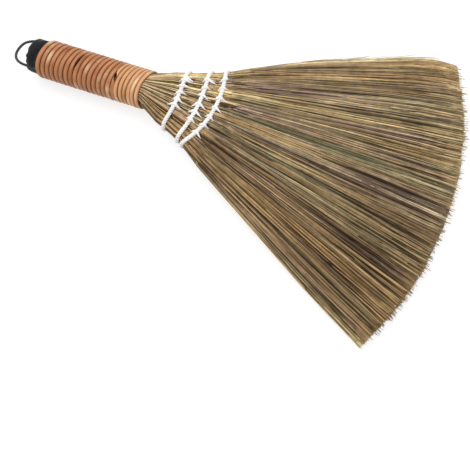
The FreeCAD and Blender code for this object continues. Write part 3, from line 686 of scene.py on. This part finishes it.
class BROOM_OT_cane_wrap(bpy.types.Operator):
    """Wind the two cane strips round the handle"""
    bl_idname = "broom.cane_wrap"
    bl_label = "Cane Wrap"

    def execute(self, context):
        sizes, colours = context.scene.broom_sizes, context.scene.broom_colours
        # each cane's last colour is its painted shade where turns meet
        rear = cane_material("Split cane, dull", tuple(colours.cane_rear), linear("#A2592F"),
                             linear("#DEB188"), linear("#6A2A0E"))
        front = cane_material("Split cane, pale", tuple(colours.cane_front), linear("#C08148"),
                              linear("#E9BE90"), linear("#8A5630"))
        self.wind("cane_rear", rear, "wrap_strip_rear", first=1.775 * MM, start_angle=-90.0, turns=16.5,
                  pitch=sizes.cane_rear, seed=7)
        self.wind("cane_front", front, "wrap_strip_front", first=67.8 * MM, start_angle=90.0, turns=6.583,
                  pitch=sizes.cane_front, seed=19)
        return {"FINISHED"}

    def wind(self, name, material, node, first, start_angle, turns, pitch, seed):
        """One strip: a flat section drawn round the handle by the Screw modifier, then made uneven."""
        steps, sides, roundness = 48, 20, 0.68
        width, thick, crown, inset = pitch - 0.02 * MM, 1.8 * MM, 0.3 * MM, 0.22 * MM
        deselect()
        bpy.ops.mesh.primitive_circle_add(vertices=sides, radius=1.0, fill_type="NOTHING")
        strip = bpy.context.object
        strip.name = name
        for vertex in strip.data.vertices:
            flat_x, flat_y = (math.copysign(abs(part) ** roundness, part) for part in vertex.co.xy)
            out = HANDLE_RADIUS - inset - thick / 2 + flat_y * thick / 2 + crown * (1 - flat_x ** 2)
            vertex.co = (first + flat_x * width / 2, out, 0)
        screw = strip.modifiers.new("Wind", "SCREW")
        screw.axis = "X"
        screw.angle = -2 * math.pi * turns
        screw.screw_offset = pitch * turns
        screw.iterations = 1
        screw.steps = screw.render_steps = round(steps * turns)
        screw.use_smooth_shade = True
        bpy.ops.object.modifier_apply(modifier="Wind")
        self.uneven(strip, first, start_angle, pitch, turns, width, seed)
        lift = Matrix.Rotation(math.radians(start_angle), 4, "X")
        strip.data.transform(TO_HANDLE @ lift)
        face_outwards(strip, close=True)
        finished(strip, material, name, node)
        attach(strip, "handle")

    def uneven(self, strip, first, start_angle, pitch, turns, width, seed):
        """Slant, wander and pointed ends of the winding, and the strip's own measures for its grain, its
        painted crown highlight and its painted shade where turns meet.
        """
        chance = np.random.default_rng(seed)
        points = read_points(strip)
        angle = np.arctan2(points[:, 2], points[:, 1])
        degrees = np.degrees(angle) + start_angle
        from_start = points[:, 0] - first
        wound = np.round(from_start / pitch + angle / (2 * math.pi)) - angle / (2 * math.pi)
        middle = first + wound * pitch
        across = (points[:, 0] - middle) / (width / 2)
        knots = np.linspace(-1, turns + 1, int((turns + 2) * 3))
        wander = np.interp(wound, knots, chance.normal(0, 0.12 * MM, len(knots)))
        swell = np.interp(wound, knots, chance.normal(0, 0.12 * MM, len(knots))) - 0.12 * MM
        if strip.name == "cane_rear":
            side, sunk = self.rear_shape(wound, degrees, across, turns)
        else:
            side, sunk = self.front_shape(wound, across)
        radial = np.hypot(points[:, 1], points[:, 2])
        scale = np.minimum(radial + swell - sunk, HANDLE_RADIUS) / radial
        points[:, 0] = middle + side * width / 2 + wander + wrap_lean(middle, degrees)
        points[:, 1] *= scale
        points[:, 2] *= scale
        move_points(strip, points)
        write_points(strip, "strip_along", wound * 2 * math.pi * HANDLE_RADIUS)
        write_points(strip, "strip_across", across)

    def rear_shape(self, wound, degrees, across, turns):
        """The rear strip's end narrows to a point and dips, and two of its gaps stand open."""
        share = np.clip((turns - wound) / 0.06, 0.04, 1)
        side = -1 + (across + 1) * share
        round_way = degrees % 360
        for turn, middle, spread, opening in OPEN_GAPS:
            near = opening * np.exp(-((round_way - middle) / spread) ** 2)
            before = (np.abs(wound - turn - 0.5) < 0.5) & (across > 0)
            after = (np.abs(wound - turn - 1.5) < 0.5) & (across < 0)
            side = side - near * across * (before | after)
        return side, 1.3 * MM * (1 - share) ** 2

    def front_shape(self, wound, across):
        """The front strip starts from a point."""
        share = np.clip(wound / 0.05, 0.04, 1)
        return 1 + (across - 1) * share, 0.5 * MM * (1 - share) ** 2


# Stitching

def band_line(row, lift):
    """The closed line of a row's cord: over the fan, round an edge, under the fan and back."""
    centre = APEX + Vector((0, ROW_SHIFTS[row], 0))
    slope = math.tan(math.radians(FAN_HALF_ANGLE))
    squares = 1 + slope * slope
    ends = []
    for side in (-1, 1):
        inset = HALF_FAN + side * ROW_SHIFTS[row]
        lean = slope * inset
        along = (lean + math.sqrt(lean * lean - squares * (inset ** 2 - ROW_RADII[row] ** 2))) / squares
        ends.append(math.degrees(math.atan2(side * (along * slope - HALF_FAN) - ROW_SHIFTS[row], along)))
    line = []
    for side, start, end in ((1, ends[0], ends[1]), (-1, ends[1], ends[0])):
        for degrees in np.linspace(start, end, 60):
            line.append(centre + outwards(degrees) * ROW_RADII[row] + UP * side * lift)
        spot, past = centre + outwards(end) * ROW_RADII[row], UP.cross(outwards(end))
        for turn in np.radians(np.linspace(90, -90, 24)[1:-1]):
            line.append(spot + (past * math.cos(turn) + UP * math.sin(turn)) * side * lift)
    line = np.array(line)
    radius, degrees = about_apex(line)
    radius = radius + row_bow(row, degrees)
    return laid_out(radius, drawn_in(radius, degrees), line[:, 2])


class BROOM_OT_stitching(bpy.types.Operator):
    """Lay the three rows of white cord and tie them through the fan"""
    bl_idname = "broom.stitching"
    bl_label = "Stitching"

    def execute(self, context):
        sizes = context.scene.broom_sizes
        white = cord_material("White cotton cord", linear("#FFFFFF"), linear("#F8F6F2"), 0.85)
        chance = np.random.default_rng(41)
        for row in range(len(ROW_RADII)):
            line = evenly(band_line(row, HALF_FAN + 0.5 * MM), 0.8 * MM, closed=True)
            band = laid_rope(f"row_{row + 1}_cord", line, sizes.row_cord, lay=7 * MM, closed=True)
            finished(band, white, "stitch_cord", f"row_{row + 1}_band")
            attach(band, "handle")
            knots = self.hitches(row, sizes.row_cord, chance)
            finished(knots, white, "stitch_cord", f"row_{row + 1}_hitches")
            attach(knots, "handle")
        return {"FINISHED"}

    def hitches(self, row, cord, chance):
        """Each hitch crosses its row as a tight bight, and its two ends slant into the grass."""
        paths, radii = [], []
        for degrees in hitch_angles(row):
            out, square = outwards(degrees), UP.cross(outwards(degrees))
            for side in (1, -1):
                up = UP * side
                wild = chance.normal(0, 0.18, 4)
                back = (-out * 0.84 - square * (0.54 + wild[0])), 5.2 * (1 + wild[2]) * MM
                forth = (out * 0.94 - square * (0.33 + wild[1])), 6.4 * (1 + wild[3]) * MM
                spot = self.on_grass(row, degrees, Vector((0, 0, 0)), side)
                spot.z = AXIS_LEVEL + side * (HALF_FAN - 0.3 * MM)
                halves = []
                for way, reach in (back, forth):
                    halves.append([self.on_grass(row, degrees, way * reach, side) + up * 0.4 * MM,
                                   self.on_grass(row, degrees, way * reach * 0.6, side) + up * 1.2 * MM,
                                   spot + way * cord * 0.55 + up * cord * 0.62])
                path = halves[0] + [spot + up * cord * 0.6] + halves[1][::-1]
                line = smooth_line(path, 5)
                share = np.linspace(-1, 1, len(line))
                paths.append(line)
                radii.append(np.interp(np.abs(share), (0, 0.4, 0.72, 1), (1.25, 1.25, 0.85, 0.12)) * MM)
        if row == 0:
            tail, place = [], 19.6
            way = outwards(place) * 0.8 - UP.cross(outwards(place)) * 0.6
            for reach, lift in ((-1.5, 2.0), (1.5, 2.2), (5.0, 1.2), (7.5, 0.3)):
                tail.append(self.on_grass(row, place, way * reach * MM, 1) + UP * lift * MM)
            paths.append(smooth_line(tail, 5))
            radii.append(np.linspace(1.2, 0.5, len(paths[-1])) * MM)
        return tubes(f"row_{row + 1}_knots", paths, radii, sides=2)

    def on_grass(self, row, degrees, offset, side):
        """A point on the grass's upper or under side, at an offset from a place on a row."""
        spot = on_fan(float(row_radius(row, degrees)), degrees) + offset - APEX
        radius, angle = math.hypot(spot.x, spot.y), math.degrees(math.atan2(spot.y, spot.x))
        return Vector(fan_point(np.array([radius]), np.array([angle]), np.array([float(side)]))[0])


# Grass

STALK_STOPS = (50, 57, 60, 64, 70, 77, 81, 86, 91, 100, 118, 145, 175, 205, 235)  # radii, in millimetres
PINCH, PINCH_REACH = 0.9 * MM, 3.2 * MM           # a row's cord presses into the grass
PUFF, PUFF_PLACE, PUFF_REACH = 1.6 * MM, 15 * MM, 12 * MM      # the grass bulges past the last row
SINK, SINK_REACH = 2.2 * MM, 18 * MM              # and stays low past that row's hitches
STREAK_ANGLE = 36                 # streaks cover this much either side of the fan's axis
STREAK_LENGTH = 0.42              # and this far from the apex
VALLEY_HALF_ANGLE = 0.95          # half width of the low place past a hitch
FLOOR_GAP = 0.45 * MM             # the lowest fibres' middle, above the floor
COVERED = 0.955                   # fibres in layers nearer the middle than this lie under others, and are painted dark as their shade
SHADOW_LENGTHS = (8 * MM, 6 * MM, 34 * MM)        # how far the painted shadow past each row's hitches reaches
TINT_OF_TONE = (0.92, 1.0, 1.12)  # dark fibres are a little warmer than pale ones
LOW_BROWN = (0.05, 0.12, 0.21)    # what the lower side of the fan lacks of red, green and blue

# How far along a fibre its points lie, and its thickness there, as shares of its length and radius

FIBRE_STOPS = ((0.0, 0.9), (0.08, 1.0), (0.16, 1.0), (0.25, 1.0), (0.36, 0.95), (0.48, 0.92), (0.60, 0.9),
               (0.72, 0.85), (0.84, 0.8), (0.94, 0.7), (1.0, 0.52))
CUT_END = 0.05                    # thickness of its blunt end

# Painted light and shade on the grass, lighter towards the neck and the fan's upper side: by radius in
# millimetres, and by angle from the fan's axis

PAINTED_LIGHT_BY_RADIUS = ((50, 2.02), (64, 2.38), (84, 2.32), (94, 1.84), (125, 1.32), (250, 1.23))
PAINTED_LIGHT_BY_ANGLE = ((-25, 0.575), (-8, 0.62), (0, 0.79), (10, 0.97), (25, 1.02))


class Streaks:
    """Long soft streaks over the fan's two sides: the same number at every call for an angle and radius."""

    def __init__(self, seed, width, length):
        self.width = width
        self.length = length
        shape = (2, int(2 * STREAK_ANGLE / width) + 2, int(STREAK_LENGTH / length) + 2)
        self.values = np.random.default_rng(seed).normal(0, 1, shape)

    def at(self, degrees, radius, layer):
        across = np.clip((degrees + STREAK_ANGLE) / self.width, 0, self.values.shape[1] - 2)
        out = np.clip(radius / self.length, 0, self.values.shape[2] - 2)
        column, row = across.astype(int), out.astype(int)
        side = (np.asarray(layer) < 0).astype(int)
        share_across, share_out = across - column, out - row
        share_across = share_across ** 2 * (3 - 2 * share_across)
        near = mixed(self.values[side, column, row], self.values[side, column + 1, row], share_across)
        far = mixed(self.values[side, column, row + 1], self.values[side, column + 1, row + 1], share_across)
        return mixed(near, far, share_out)


# Streaks of colour that stand out: angle, half width, first and last radius, warmth, dullness, tone

MARKED_STREAKS = (
    (-12.5, 0.9, 90, 290, 0.0, 2.4, -0.22),
    (-16.9, 1.1, 120, 275, 2.0, -1.5, 0.14),
    (-20.0, 0.8, 230, 290, -2.0, -1.0, -0.10),
    (-23.4, 0.8, 130, 290, 0.8, 0.8, 0.30),
    (3.4, 0.7, 95, 235, -2.2, -1.0, -0.32),
    (7.1, 0.6, 200, 285, 2.4, -2.0, 0.30),
    (9.6, 0.7, 180, 265, 0.0, 2.0, -0.12),
)

FINE = Streaks(5, 0.25, 28 * MM)
FINE_NEAR = Streaks(4, 0.5, 28 * MM)
STRAND = Streaks(6, 0.62, 55 * MM)
BROAD = Streaks(7, 2.4, 110 * MM)
WARMTH = Streaks(8, 1.5, 120 * MM)
DULLNESS = Streaks(9, 1.9, 120 * MM)
# painted shade in the gaps between strands
PAINTED_GAP_SHADE = Streaks(10, 0.2, 45 * MM)


def valleys(row, degrees):
    """How near each angle is to a place where a row is tied down, from 0 to 1."""
    near = np.zeros_like(degrees)
    for hitch in hitch_angles(row):
        near = np.maximum(near, np.exp(-((degrees - hitch) / VALLEY_HALF_ANGLE) ** 2))
    return near


def furrows(degrees):
    """How deep the furrows between clumps of fibres are at each angle, from 0 to 1."""
    tuft_angle = 2 * FAN_HALF_ANGLE / TUFTS
    off_middle = (degrees + FAN_HALF_ANGLE) % tuft_angle - tuft_angle / 2
    deep = np.zeros_like(degrees)
    for place in FURROWS + (-tuft_angle / 2, tuft_angle / 2):
        deep = np.maximum(deep, 1 - np.abs(off_middle - place) / FURROW_HALF_ANGLE)
    return deep


def fan_point(radius, degrees, layer):
    """Points in the fan by radius, angle and layer, from -1 on its underside to 1 on its upper side."""
    tip = tip_reach(degrees)
    past = np.clip((radius - FLEX_RADIUS) / (tip - FLEX_RADIUS), 0, 1.1)
    top = mixed(AXIS_LEVEL + HALF_FAN, TIP_TOP, past)
    base = mixed(AXIS_LEVEL - HALF_FAN, 0.5 * MM, passed(radius, FLEX_RADIUS, tip - TIP_FLAT))
    pinch = np.zeros_like(radius)
    for row in range(len(ROW_RADII)):
        pinch += PINCH * np.exp(-((radius - row_radius(row, degrees)) / PINCH_REACH) ** 2)
    beyond = radius - row_radius(2, degrees)
    near = valleys(2, degrees)
    puff = PUFF * np.exp(-((beyond - PUFF_PLACE) / PUFF_REACH) ** 2) * (1 - near)
    sink = SINK * near * np.exp(-np.clip(beyond, 0, None) / SINK_REACH) * (beyond > -2 * MM)
    opened = passed(radius, 92 * MM, 118 * MM)
    uneven = STRAND.at(degrees, radius, layer) * 0.3 + FINE.at(degrees, radius, layer) * 0.1
    relief = FURROW_DEPTH * furrows(degrees) * opened * 0.65 - MM * np.clip(uneven, -1.2, 0.5)
    half = (top - base) / 2 - pinch + puff - sink - relief
    from_edge = passed(radius * np.radians(FAN_HALF_ANGLE - np.abs(degrees)), 0, HALF_FAN)
    rounding = np.sqrt(np.clip(1 - (1 - from_edge) ** 2, 0.02, 1))
    height = (top + base) / 2 + layer * half * rounding
    return laid_out(radius, drawn_in(radius, degrees), np.maximum(height, FLOOR_GAP))


def handle_point(along, share, layer, core):
    """Points in the bound handle by place along it and by the fan's own measures across and up."""
    across = (core * share * np.sqrt(1 - layer ** 2 / 2))[..., None]
    above = (core * layer * np.sqrt(1 - share ** 2 / 2))[..., None]
    along = np.asarray(along)[..., None]
    start, ahead, sideways = np.array(HANDLE_START), np.array(ALONG), np.array(ACROSS)
    return start + along * ahead + across * sideways + above * np.array(UP)


class BROOM_OT_grass(bpy.types.Operator):
    """Lay the grass of each tuft: thick stalks from the handle and fine fibres past the stitching"""
    bl_idname = "broom.grass"
    bl_label = "Grass"

    def execute(self, context):
        material = grass_material()
        for number in range(1, TUFTS + 1):
            self.tuft(context.scene, number, material)
        return {"FINISHED"}

    def tuft(self, scene, number, material):
        sizes = scene.broom_sizes
        chance = np.random.default_rng(100 + number)
        stalk_lines, stalk_radii, stalk_angles, stalk_layers = self.stalks(number, sizes, chance)
        fibre_lines, fibre_radii, fibre_angles, fibre_layers = self.fibres(number, sizes, chance)
        lines = list(stalk_lines) + list(fibre_lines)
        radii = list(stalk_radii) + list(fibre_radii)
        piece = tubes(f"tuft_{number}_grass", lines, radii, caps=False)
        fibre = np.repeat(np.arange(len(lines)), [len(line) * 4 for line in lines])
        if len(fibre) != len(piece.data.vertices):
            raise RuntimeError(f"{piece.name} has {len(piece.data.vertices)} points, not {len(fibre)}")
        angles = np.concatenate([stalk_angles, fibre_angles])
        layers = np.concatenate([stalk_layers, fibre_layers])
        self.colour(piece, scene.broom_colours, fibre, sizes.stalks, angles, layers, chance)
        self.bake_map(piece, fibre)
        finished(piece, material, "grass_fibres", f"stalks_{number}", f"brush_{number}")
        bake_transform(piece)

    def stalks(self, number, sizes, chance):
        """Stalks from inside the cap, through the handle and the neck, to the tips."""
        count = sizes.stalks
        half = FAN_HALF_ANGLE / TUFTS
        angles = tuft_direction(number) + chance.uniform(-half, half, count)
        layers = chance.uniform(-1, 1, count)
        outer_share = 0.62
        skin = chance.random(count) < outer_share
        layers[skin] = np.sign(layers[skin]) * chance.uniform(0.84, 1.0, skin.sum())
        share = angles / FAN_HALF_ANGLE
        thick = sizes.stalk_radius * chance.uniform(0.7, 1.3, count)
        round_way = np.degrees(np.arctan2(layers * np.sqrt(1 - share ** 2 / 2),
                                          share * np.sqrt(1 - layers ** 2 / 2)))
        end = wrap_end(round_way)
        swell = 15.2 * MM + 0.7 * MM * np.clip(-share, 0, 1) - thick
        lines = []
        for along, core in ((-6 * MM, 9 * MM), (15 * MM, INNER_CORE), (70 * MM, INNER_CORE),
                            (83 * MM, FRONT_INNER_CORE), (end - 5 * MM, 13.9 * MM - thick),
                            (end - 0.5 * MM, 14.4 * MM - thick), (end + 2.5 * MM, swell)):
            lines.append(handle_point(np.full(count, along), share, layers, np.full(count, core)))
        drift = chance.normal(0, 0.5, count)
        ends = tip_reach(angles) - np.abs(chance.normal(0, 9 * MM, count)) - 2 * MM
        for place in STALK_STOPS:
            radius = np.full(count, place * MM)
            wiggle = chance.normal(0, 0.16, count) * (place > 52)
            now = angles + drift * passed(place, 90, 280) + wiggle
            now = np.clip(now, -FAN_HALF_ANGLE, FAN_HALF_ANGLE)
            lines.append(fan_point(radius, now, np.clip(layers + chance.normal(0, 0.03, count), -1, 1)))
        lines.append(fan_point(ends, np.clip(angles + drift, -FAN_HALF_ANGLE, FAN_HALF_ANGLE), layers))
        lines = np.stack(lines, 1)
        even = 14                         # points before the last row, where a stalk keeps its thickness
        taper = np.concatenate([np.full(even, 1.0), np.linspace(0.95, 0.5, lines.shape[1] - even)])
        return lines, thick[:, None] * taper[None, :], angles, layers

    def fibres(self, number, sizes, chance):
        """Fine fibres that start among the stitched stalks and make up the free fan."""
        count = sizes.fibres
        half = FAN_HALF_ANGLE / TUFTS
        steps = (np.arange(count) + chance.random(count)) / count * 2 - 1
        chance.shuffle(steps)
        kind = chance.random(count)
        layers = chance.uniform(-0.9, 0.9, count)
        layers = np.where(kind < 0.42, 0.90 - np.abs(chance.normal(0, 0.1, count)), layers)
        layers = np.where(kind > 0.72, -0.90 + np.abs(chance.normal(0, 0.1, count)), layers)
        strands = sizes.strands
        for side in (1, -1):
            chosen = slice(0, strands) if side > 0 else slice(strands, 2 * strands)
            steps[chosen] = (np.arange(strands) + chance.uniform(0.05, 0.95, strands)) / strands * 2 - 1
            layers[chosen] = side * chance.uniform(0.97, 1.01, strands)
        angles = tuft_direction(number) + half * steps * 1.03
        angles = np.clip(angles, -FAN_HALF_ANGLE, FAN_HALF_ANGLE)
        drift = chance.normal(0, 0.28, count)
        drift[:2 * strands] *= 1.1 if number < 3 else 0.4
        begin = chance.uniform(56, 90, count) * MM
        clump = 0.9 * MM * BROAD.at(angles, tip_reach(angles), layers)
        ends = tip_reach(angles) + clump - 1.6 * MM - np.abs(chance.normal(0, sizes.fray, count))
        kind = chance.random(count)
        ends = np.where(kind < 0.10, ends - chance.uniform(4, 45, count) * MM, ends)
        ends = np.where(kind > 0.95, ends + chance.uniform(1, 4.5, count) * MM, ends)
        lines = []
        for share, _ in FIBRE_STOPS:
            radius = begin + (ends - begin) * share
            now = angles + drift * share + chance.normal(0, 0.05, count) * (share > 0)
            now = np.clip(now, -FAN_HALF_ANGLE - 0.1, FAN_HALF_ANGLE + 0.3)
            layer = layers * (0.82 + 0.18 * min(1.0, share / 0.14))
            layer = layer + chance.normal(0, 0.03, count) * (share > 0.1)
            lines.append(fan_point(radius, now, np.clip(layer, -1.0, 1.03)))
        ahead = lines[-1] - lines[-2]
        lines.append(lines[-1] + 0.05 * MM * ahead / np.linalg.norm(ahead, axis=1)[:, None])
        lines = np.stack(lines, 1)
        thick = sizes.fibre_radius * chance.uniform(0.75, 1.15, count)
        thick[:2 * strands] *= 1.05
        if number == 1:
            self.add_strays(lines, thick, chance)
        taper = np.array([thickness for _, thickness in FIBRE_STOPS] + [CUT_END])
        return lines, thick[:, None] * taper[None, :], angles, layers

    def add_strays(self, lines, thick, chance):
        """Let some thin fibres of the first tuft stand a little off the fan's edge."""
        strays = 60
        place = np.linspace(0, 1, lines.shape[1])
        for number in range(strays):
            radius = (chance.uniform(105, 215) + place * chance.uniform(40, 70)) * MM
            stand_off = place * (chance.uniform(0.1, 0.9) if number % 4 else chance.uniform(0.5, 1.3))
            degrees = drawn_in(radius, np.full(len(place), FAN_HALF_ANGLE)) + stand_off
            height = (13 - 5 * (radius / MM - 100) / 190) * MM
            lines[number - strays] = laid_out(radius, degrees, height)
        thick[-strays:] *= 0.34

    def colour(self, piece, colours, fibre, stalks, angles, layers, chance):
        """Every fibre's colour: streaks of gold, olive and plum, single pale or dark fibres, painted shade
        deep in the fan, between strands and past the hitches, and painted light by place, on the edges and
        at the tips.
        """
        total, numbers = len(angles), np.arange(len(angles))
        points = read_points(piece)
        radius, degrees = about_apex(points)
        degrees = np.clip(degrees, -34, 34)
        layer = layers[fibre]
        place = (degrees, radius, layer)
        warm = 0.9 * WARMTH.at(*place) + chance.normal(0, 0.9, total)[fibre]
        warm = warm + np.interp(degrees, (-14, 4), (0.7, 0.0))
        dull = 0.9 * DULLNESS.at(*place) + chance.normal(0, 0.9, total)[fibre]
        # the dark fibres are partly fibres of a dark tone, partly painted shade that stands for the gaps
        # between strands
        bright, dark = chance.normal(0.33, 0.26, total), chance.normal(-1.15, 0.3, total)
        own = np.where(chance.random(total) < np.where(numbers < stalks, 0.36, 0.28), dark, bright)
        # covered fibres are painted dark, as the shade under the fibres on top
        covered_in_painted_shade = (np.abs(layers) < COVERED) & (numbers >= stalks) & (np.abs(angles) < 22.3)
        own = self.woven(np.where(covered_in_painted_shade, dark, own), covered_in_painted_shade, radius, fibre)
        far = passed(radius, 130 * MM, 170 * MM)
        low, high = passed(degrees, -2, -14) * far, passed(degrees, 14, 21)
        tone = (0.10 * STRAND.at(*place) + 0.07 * BROAD.at(*place)) * (1 - 0.6 * low)
        tone = tone + own * (1 + 0.5 * low - 0.4 * high)
        tone = tone + 0.24 * mixed(FINE_NEAR.at(*place), FINE.at(*place), far) * (1 - 0.4 * high)
        # painted shade in the gaps between strands, deeper on the lower side
        tone = tone - (0.15 + 0.4 * low) * np.clip(PAINTED_GAP_SHADE.at(*place) - 0.5, 0, 1.2)
        for middle, wide, first, last, warmer, duller, lighter in MARKED_STREAKS:
            near = np.exp(-((degrees - middle) / wide) ** 2) * (layer > 0)
            near *= passed(radius / MM, first, first + 15) * passed(radius / MM, last, last - 15)
            warm, dull, tone = warm + near * warmer, dull + near * duller, tone + near * lighter
        pale = chance.normal(-0.3, 0.4, total)[fibre] + 0.2 * STRAND.at(*place)
        at_edge = passed(np.abs(degrees), 24.0, 24.9) * passed(radius, 100 * MM, 140 * MM)
        to_tip = np.clip(tip_reach(np.clip(degrees, -26, 26)) - radius, 0, None)
        # near the tips the fibres are paler, and the cut ends get painted light against the shade among them
        at_tip, cut = np.exp(-to_tip / (16 * MM)), np.exp(-to_tip / (6 * MM))
        names = ("gold", "olive", "plum", "straw")
        gold, olive, plum, straw = (np.array(getattr(colours, name)) for name in names)
        shades = mixed(gold, olive, np.clip(0.42 - 0.32 * warm, 0, 1)[:, None])
        shades = mixed(shades, plum, np.clip(0.05 + 0.42 * dull, 0, 1)[:, None])
        shades = mixed(shades, straw, np.clip(pale + 0.8 * at_edge + 0.25 * at_tip, 0, 0.9)[:, None])
        shades = shades * (1 - passed(degrees, -4, -16)[:, None] * np.array(LOW_BROWN))
        # near the cut ends the covered fibres get painted light
        tone = tone * (1 - 0.6 * at_tip) + 0.5 * at_tip + 0.45 * cut * (np.abs(layer) < COVERED)
        tone = np.clip(tone, -2.0, 0.9)[:, None] * np.array(TINT_OF_TONE)
        # painted shade deeper in the fan, lifted on its outer edges and at the cut ends, times the painted
        # light by place
        painted_light_by_depth = np.maximum(passed(np.abs(layer), 0.6, 0.84), passed(np.abs(angles[fibre]), 23.2, 24.2))
        light = (0.4 + 0.6 * np.maximum(painted_light_by_depth, cut)) * self.level(degrees, radius)
        # painted light on the fan's edges and tips, most at the tips of the lower side
        light = light * (1 + 0.7 * at_edge) * (1 + (0.12 + 0.35 * low) * at_tip + 0.25 * cut)
        paint = np.ones((len(points), 4))
        paint[:, :3] = np.clip(shades * np.exp(tone) * light[:, None], 0, 1)
        attribute = piece.data.attributes.new("fibre_colour_and_painted_light", "FLOAT_COLOR", "POINT")
        attribute.data.foreach_set("color", paint.astype(np.float32).ravel())

    def level(self, degrees, radius):
        """Painted light and shade by place on the fan, and a painted shadow past each hitch."""
        level = np.interp(radius / MM, *zip(*PAINTED_LIGHT_BY_RADIUS)) * np.interp(degrees, *zip(*PAINTED_LIGHT_BY_ANGLE))
        for row, length in enumerate(SHADOW_LENGTHS):
            beyond = radius - row_radius(row, np.clip(degrees, -FAN_HALF_ANGLE, FAN_HALF_ANGLE))
            fade = np.exp(-np.clip(beyond, 0, None) / length) * (beyond > 0)
            level = level * (1 - 0.75 * valleys(row, degrees) * fade)
        return level

    def woven(self, own, covered_in_painted_shade, radius, fibre):
        """Each fibre's tone along its length: dark stretches, painted shade where it goes under its
        neighbours, and light ones where it comes up.
        """
        chance = np.random.default_rng(len(radius))
        total = len(own)
        first_place, gap, changes = 100 * MM, 42 * MM, 5
        knots = np.where(chance.random((total, changes)) < 0.29, chance.normal(-1.2, 0.3, (total, changes)),
                         chance.normal(0.36, 0.26, (total, changes)))
        knots[:, 0] = own
        knots[covered_in_painted_shade] = own[covered_in_painted_shade, None]
        place = (radius - first_place) / gap + chance.uniform(-0.45, 0.45, total)[fibre]
        place = np.clip(place, 0, changes - 1.001)
        before = place.astype(int)
        share = passed(place - before, 0.25, 0.75)
        return mixed(knots[fibre, before], knots[fibre, before + 1], share)

    def bake_map(self, piece, fibre):
        """Give each fibre a narrow upright cell of its own in the map that a bake uses."""
        mesh = piece.data
        columns = 128
        rows = math.ceil((fibre[-1] + 1) / columns)
        corners = np.empty(len(mesh.loops), np.int32)
        mesh.loops.foreach_get("vertex_index", corners)
        places = np.empty(len(mesh.loops) * 2, np.float32)
        layer = mesh.uv_layers["UVMap"]
        layer.uv.foreach_get("vector", places)
        places = places.reshape(-1, 2)
        number = fibre[corners]
        across = (number % columns + 0.15 + 0.7 * places[:, 1]) / columns
        upwards = (number // columns + 0.03 + 0.94 * places[:, 0]) / rows
        layer.uv.foreach_set("vector", np.column_stack([across, upwards]).astype(np.float32).ravel())
        layer.name = "OFBake"


# Hidden bindings

class BROOM_OT_inner_ties(bpy.types.Operator):
    """Finish the two inner ties, which the cane covers"""
    bl_idname = "broom.inner_ties"
    bl_label = "Inner Ties"

    def execute(self, context):
        binding = cord_material("Raw jute binding", linear("#A58B62"), linear("#84704E"), 0.85)
        for name in ("tie_rear", "tie_front"):
            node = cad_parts[name]
            node.data.materials.clear()
            node.data.materials.append(binding)
        return {"FINISHED"}


class BROOM_PT_panel(bpy.types.Panel):
    """Lists the broom's pieces, sizes and colours"""
    bl_idname = "BROOM_PT_panel"
    bl_label = "Hand Broom"
    bl_space_type = "VIEW_3D"
    bl_region_type = "UI"
    bl_category = "Hand Broom"

    def draw(self, context):
        for group in (context.scene.broom_sizes, context.scene.broom_colours):
            for name in group.__annotations__:
                self.layout.prop(group, name)
        for operator in OPERATORS:
            self.layout.operator(operator.bl_idname)


OPERATORS = (BROOM_OT_stage, BROOM_OT_hanging_loop, BROOM_OT_end_cap, BROOM_OT_cane_wrap,
             BROOM_OT_stitching, BROOM_OT_grass, BROOM_OT_inner_ties)
CLASSES = (BroomSizes, BroomColours) + OPERATORS + (BROOM_PT_panel,)


def register():
    for each in CLASSES:
        bpy.utils.register_class(each)
    bpy.types.Scene.broom_sizes = PointerProperty(type=BroomSizes)
    bpy.types.Scene.broom_colours = PointerProperty(type=BroomColours)


def unregister():
    del bpy.types.Scene.broom_colours
    del bpy.types.Scene.broom_sizes
    for each in reversed(CLASSES):
        bpy.utils.unregister_class(each)


def main():
    register()
    deselect()
    bpy.ops.broom.stage()
    bpy.ops.broom.hanging_loop()
    bpy.ops.broom.end_cap()
    bpy.ops.broom.cane_wrap()
    bpy.ops.broom.stitching()
    bpy.ops.broom.grass()
    bpy.ops.broom.inner_ties()


if __name__ == "__main__":
    main()
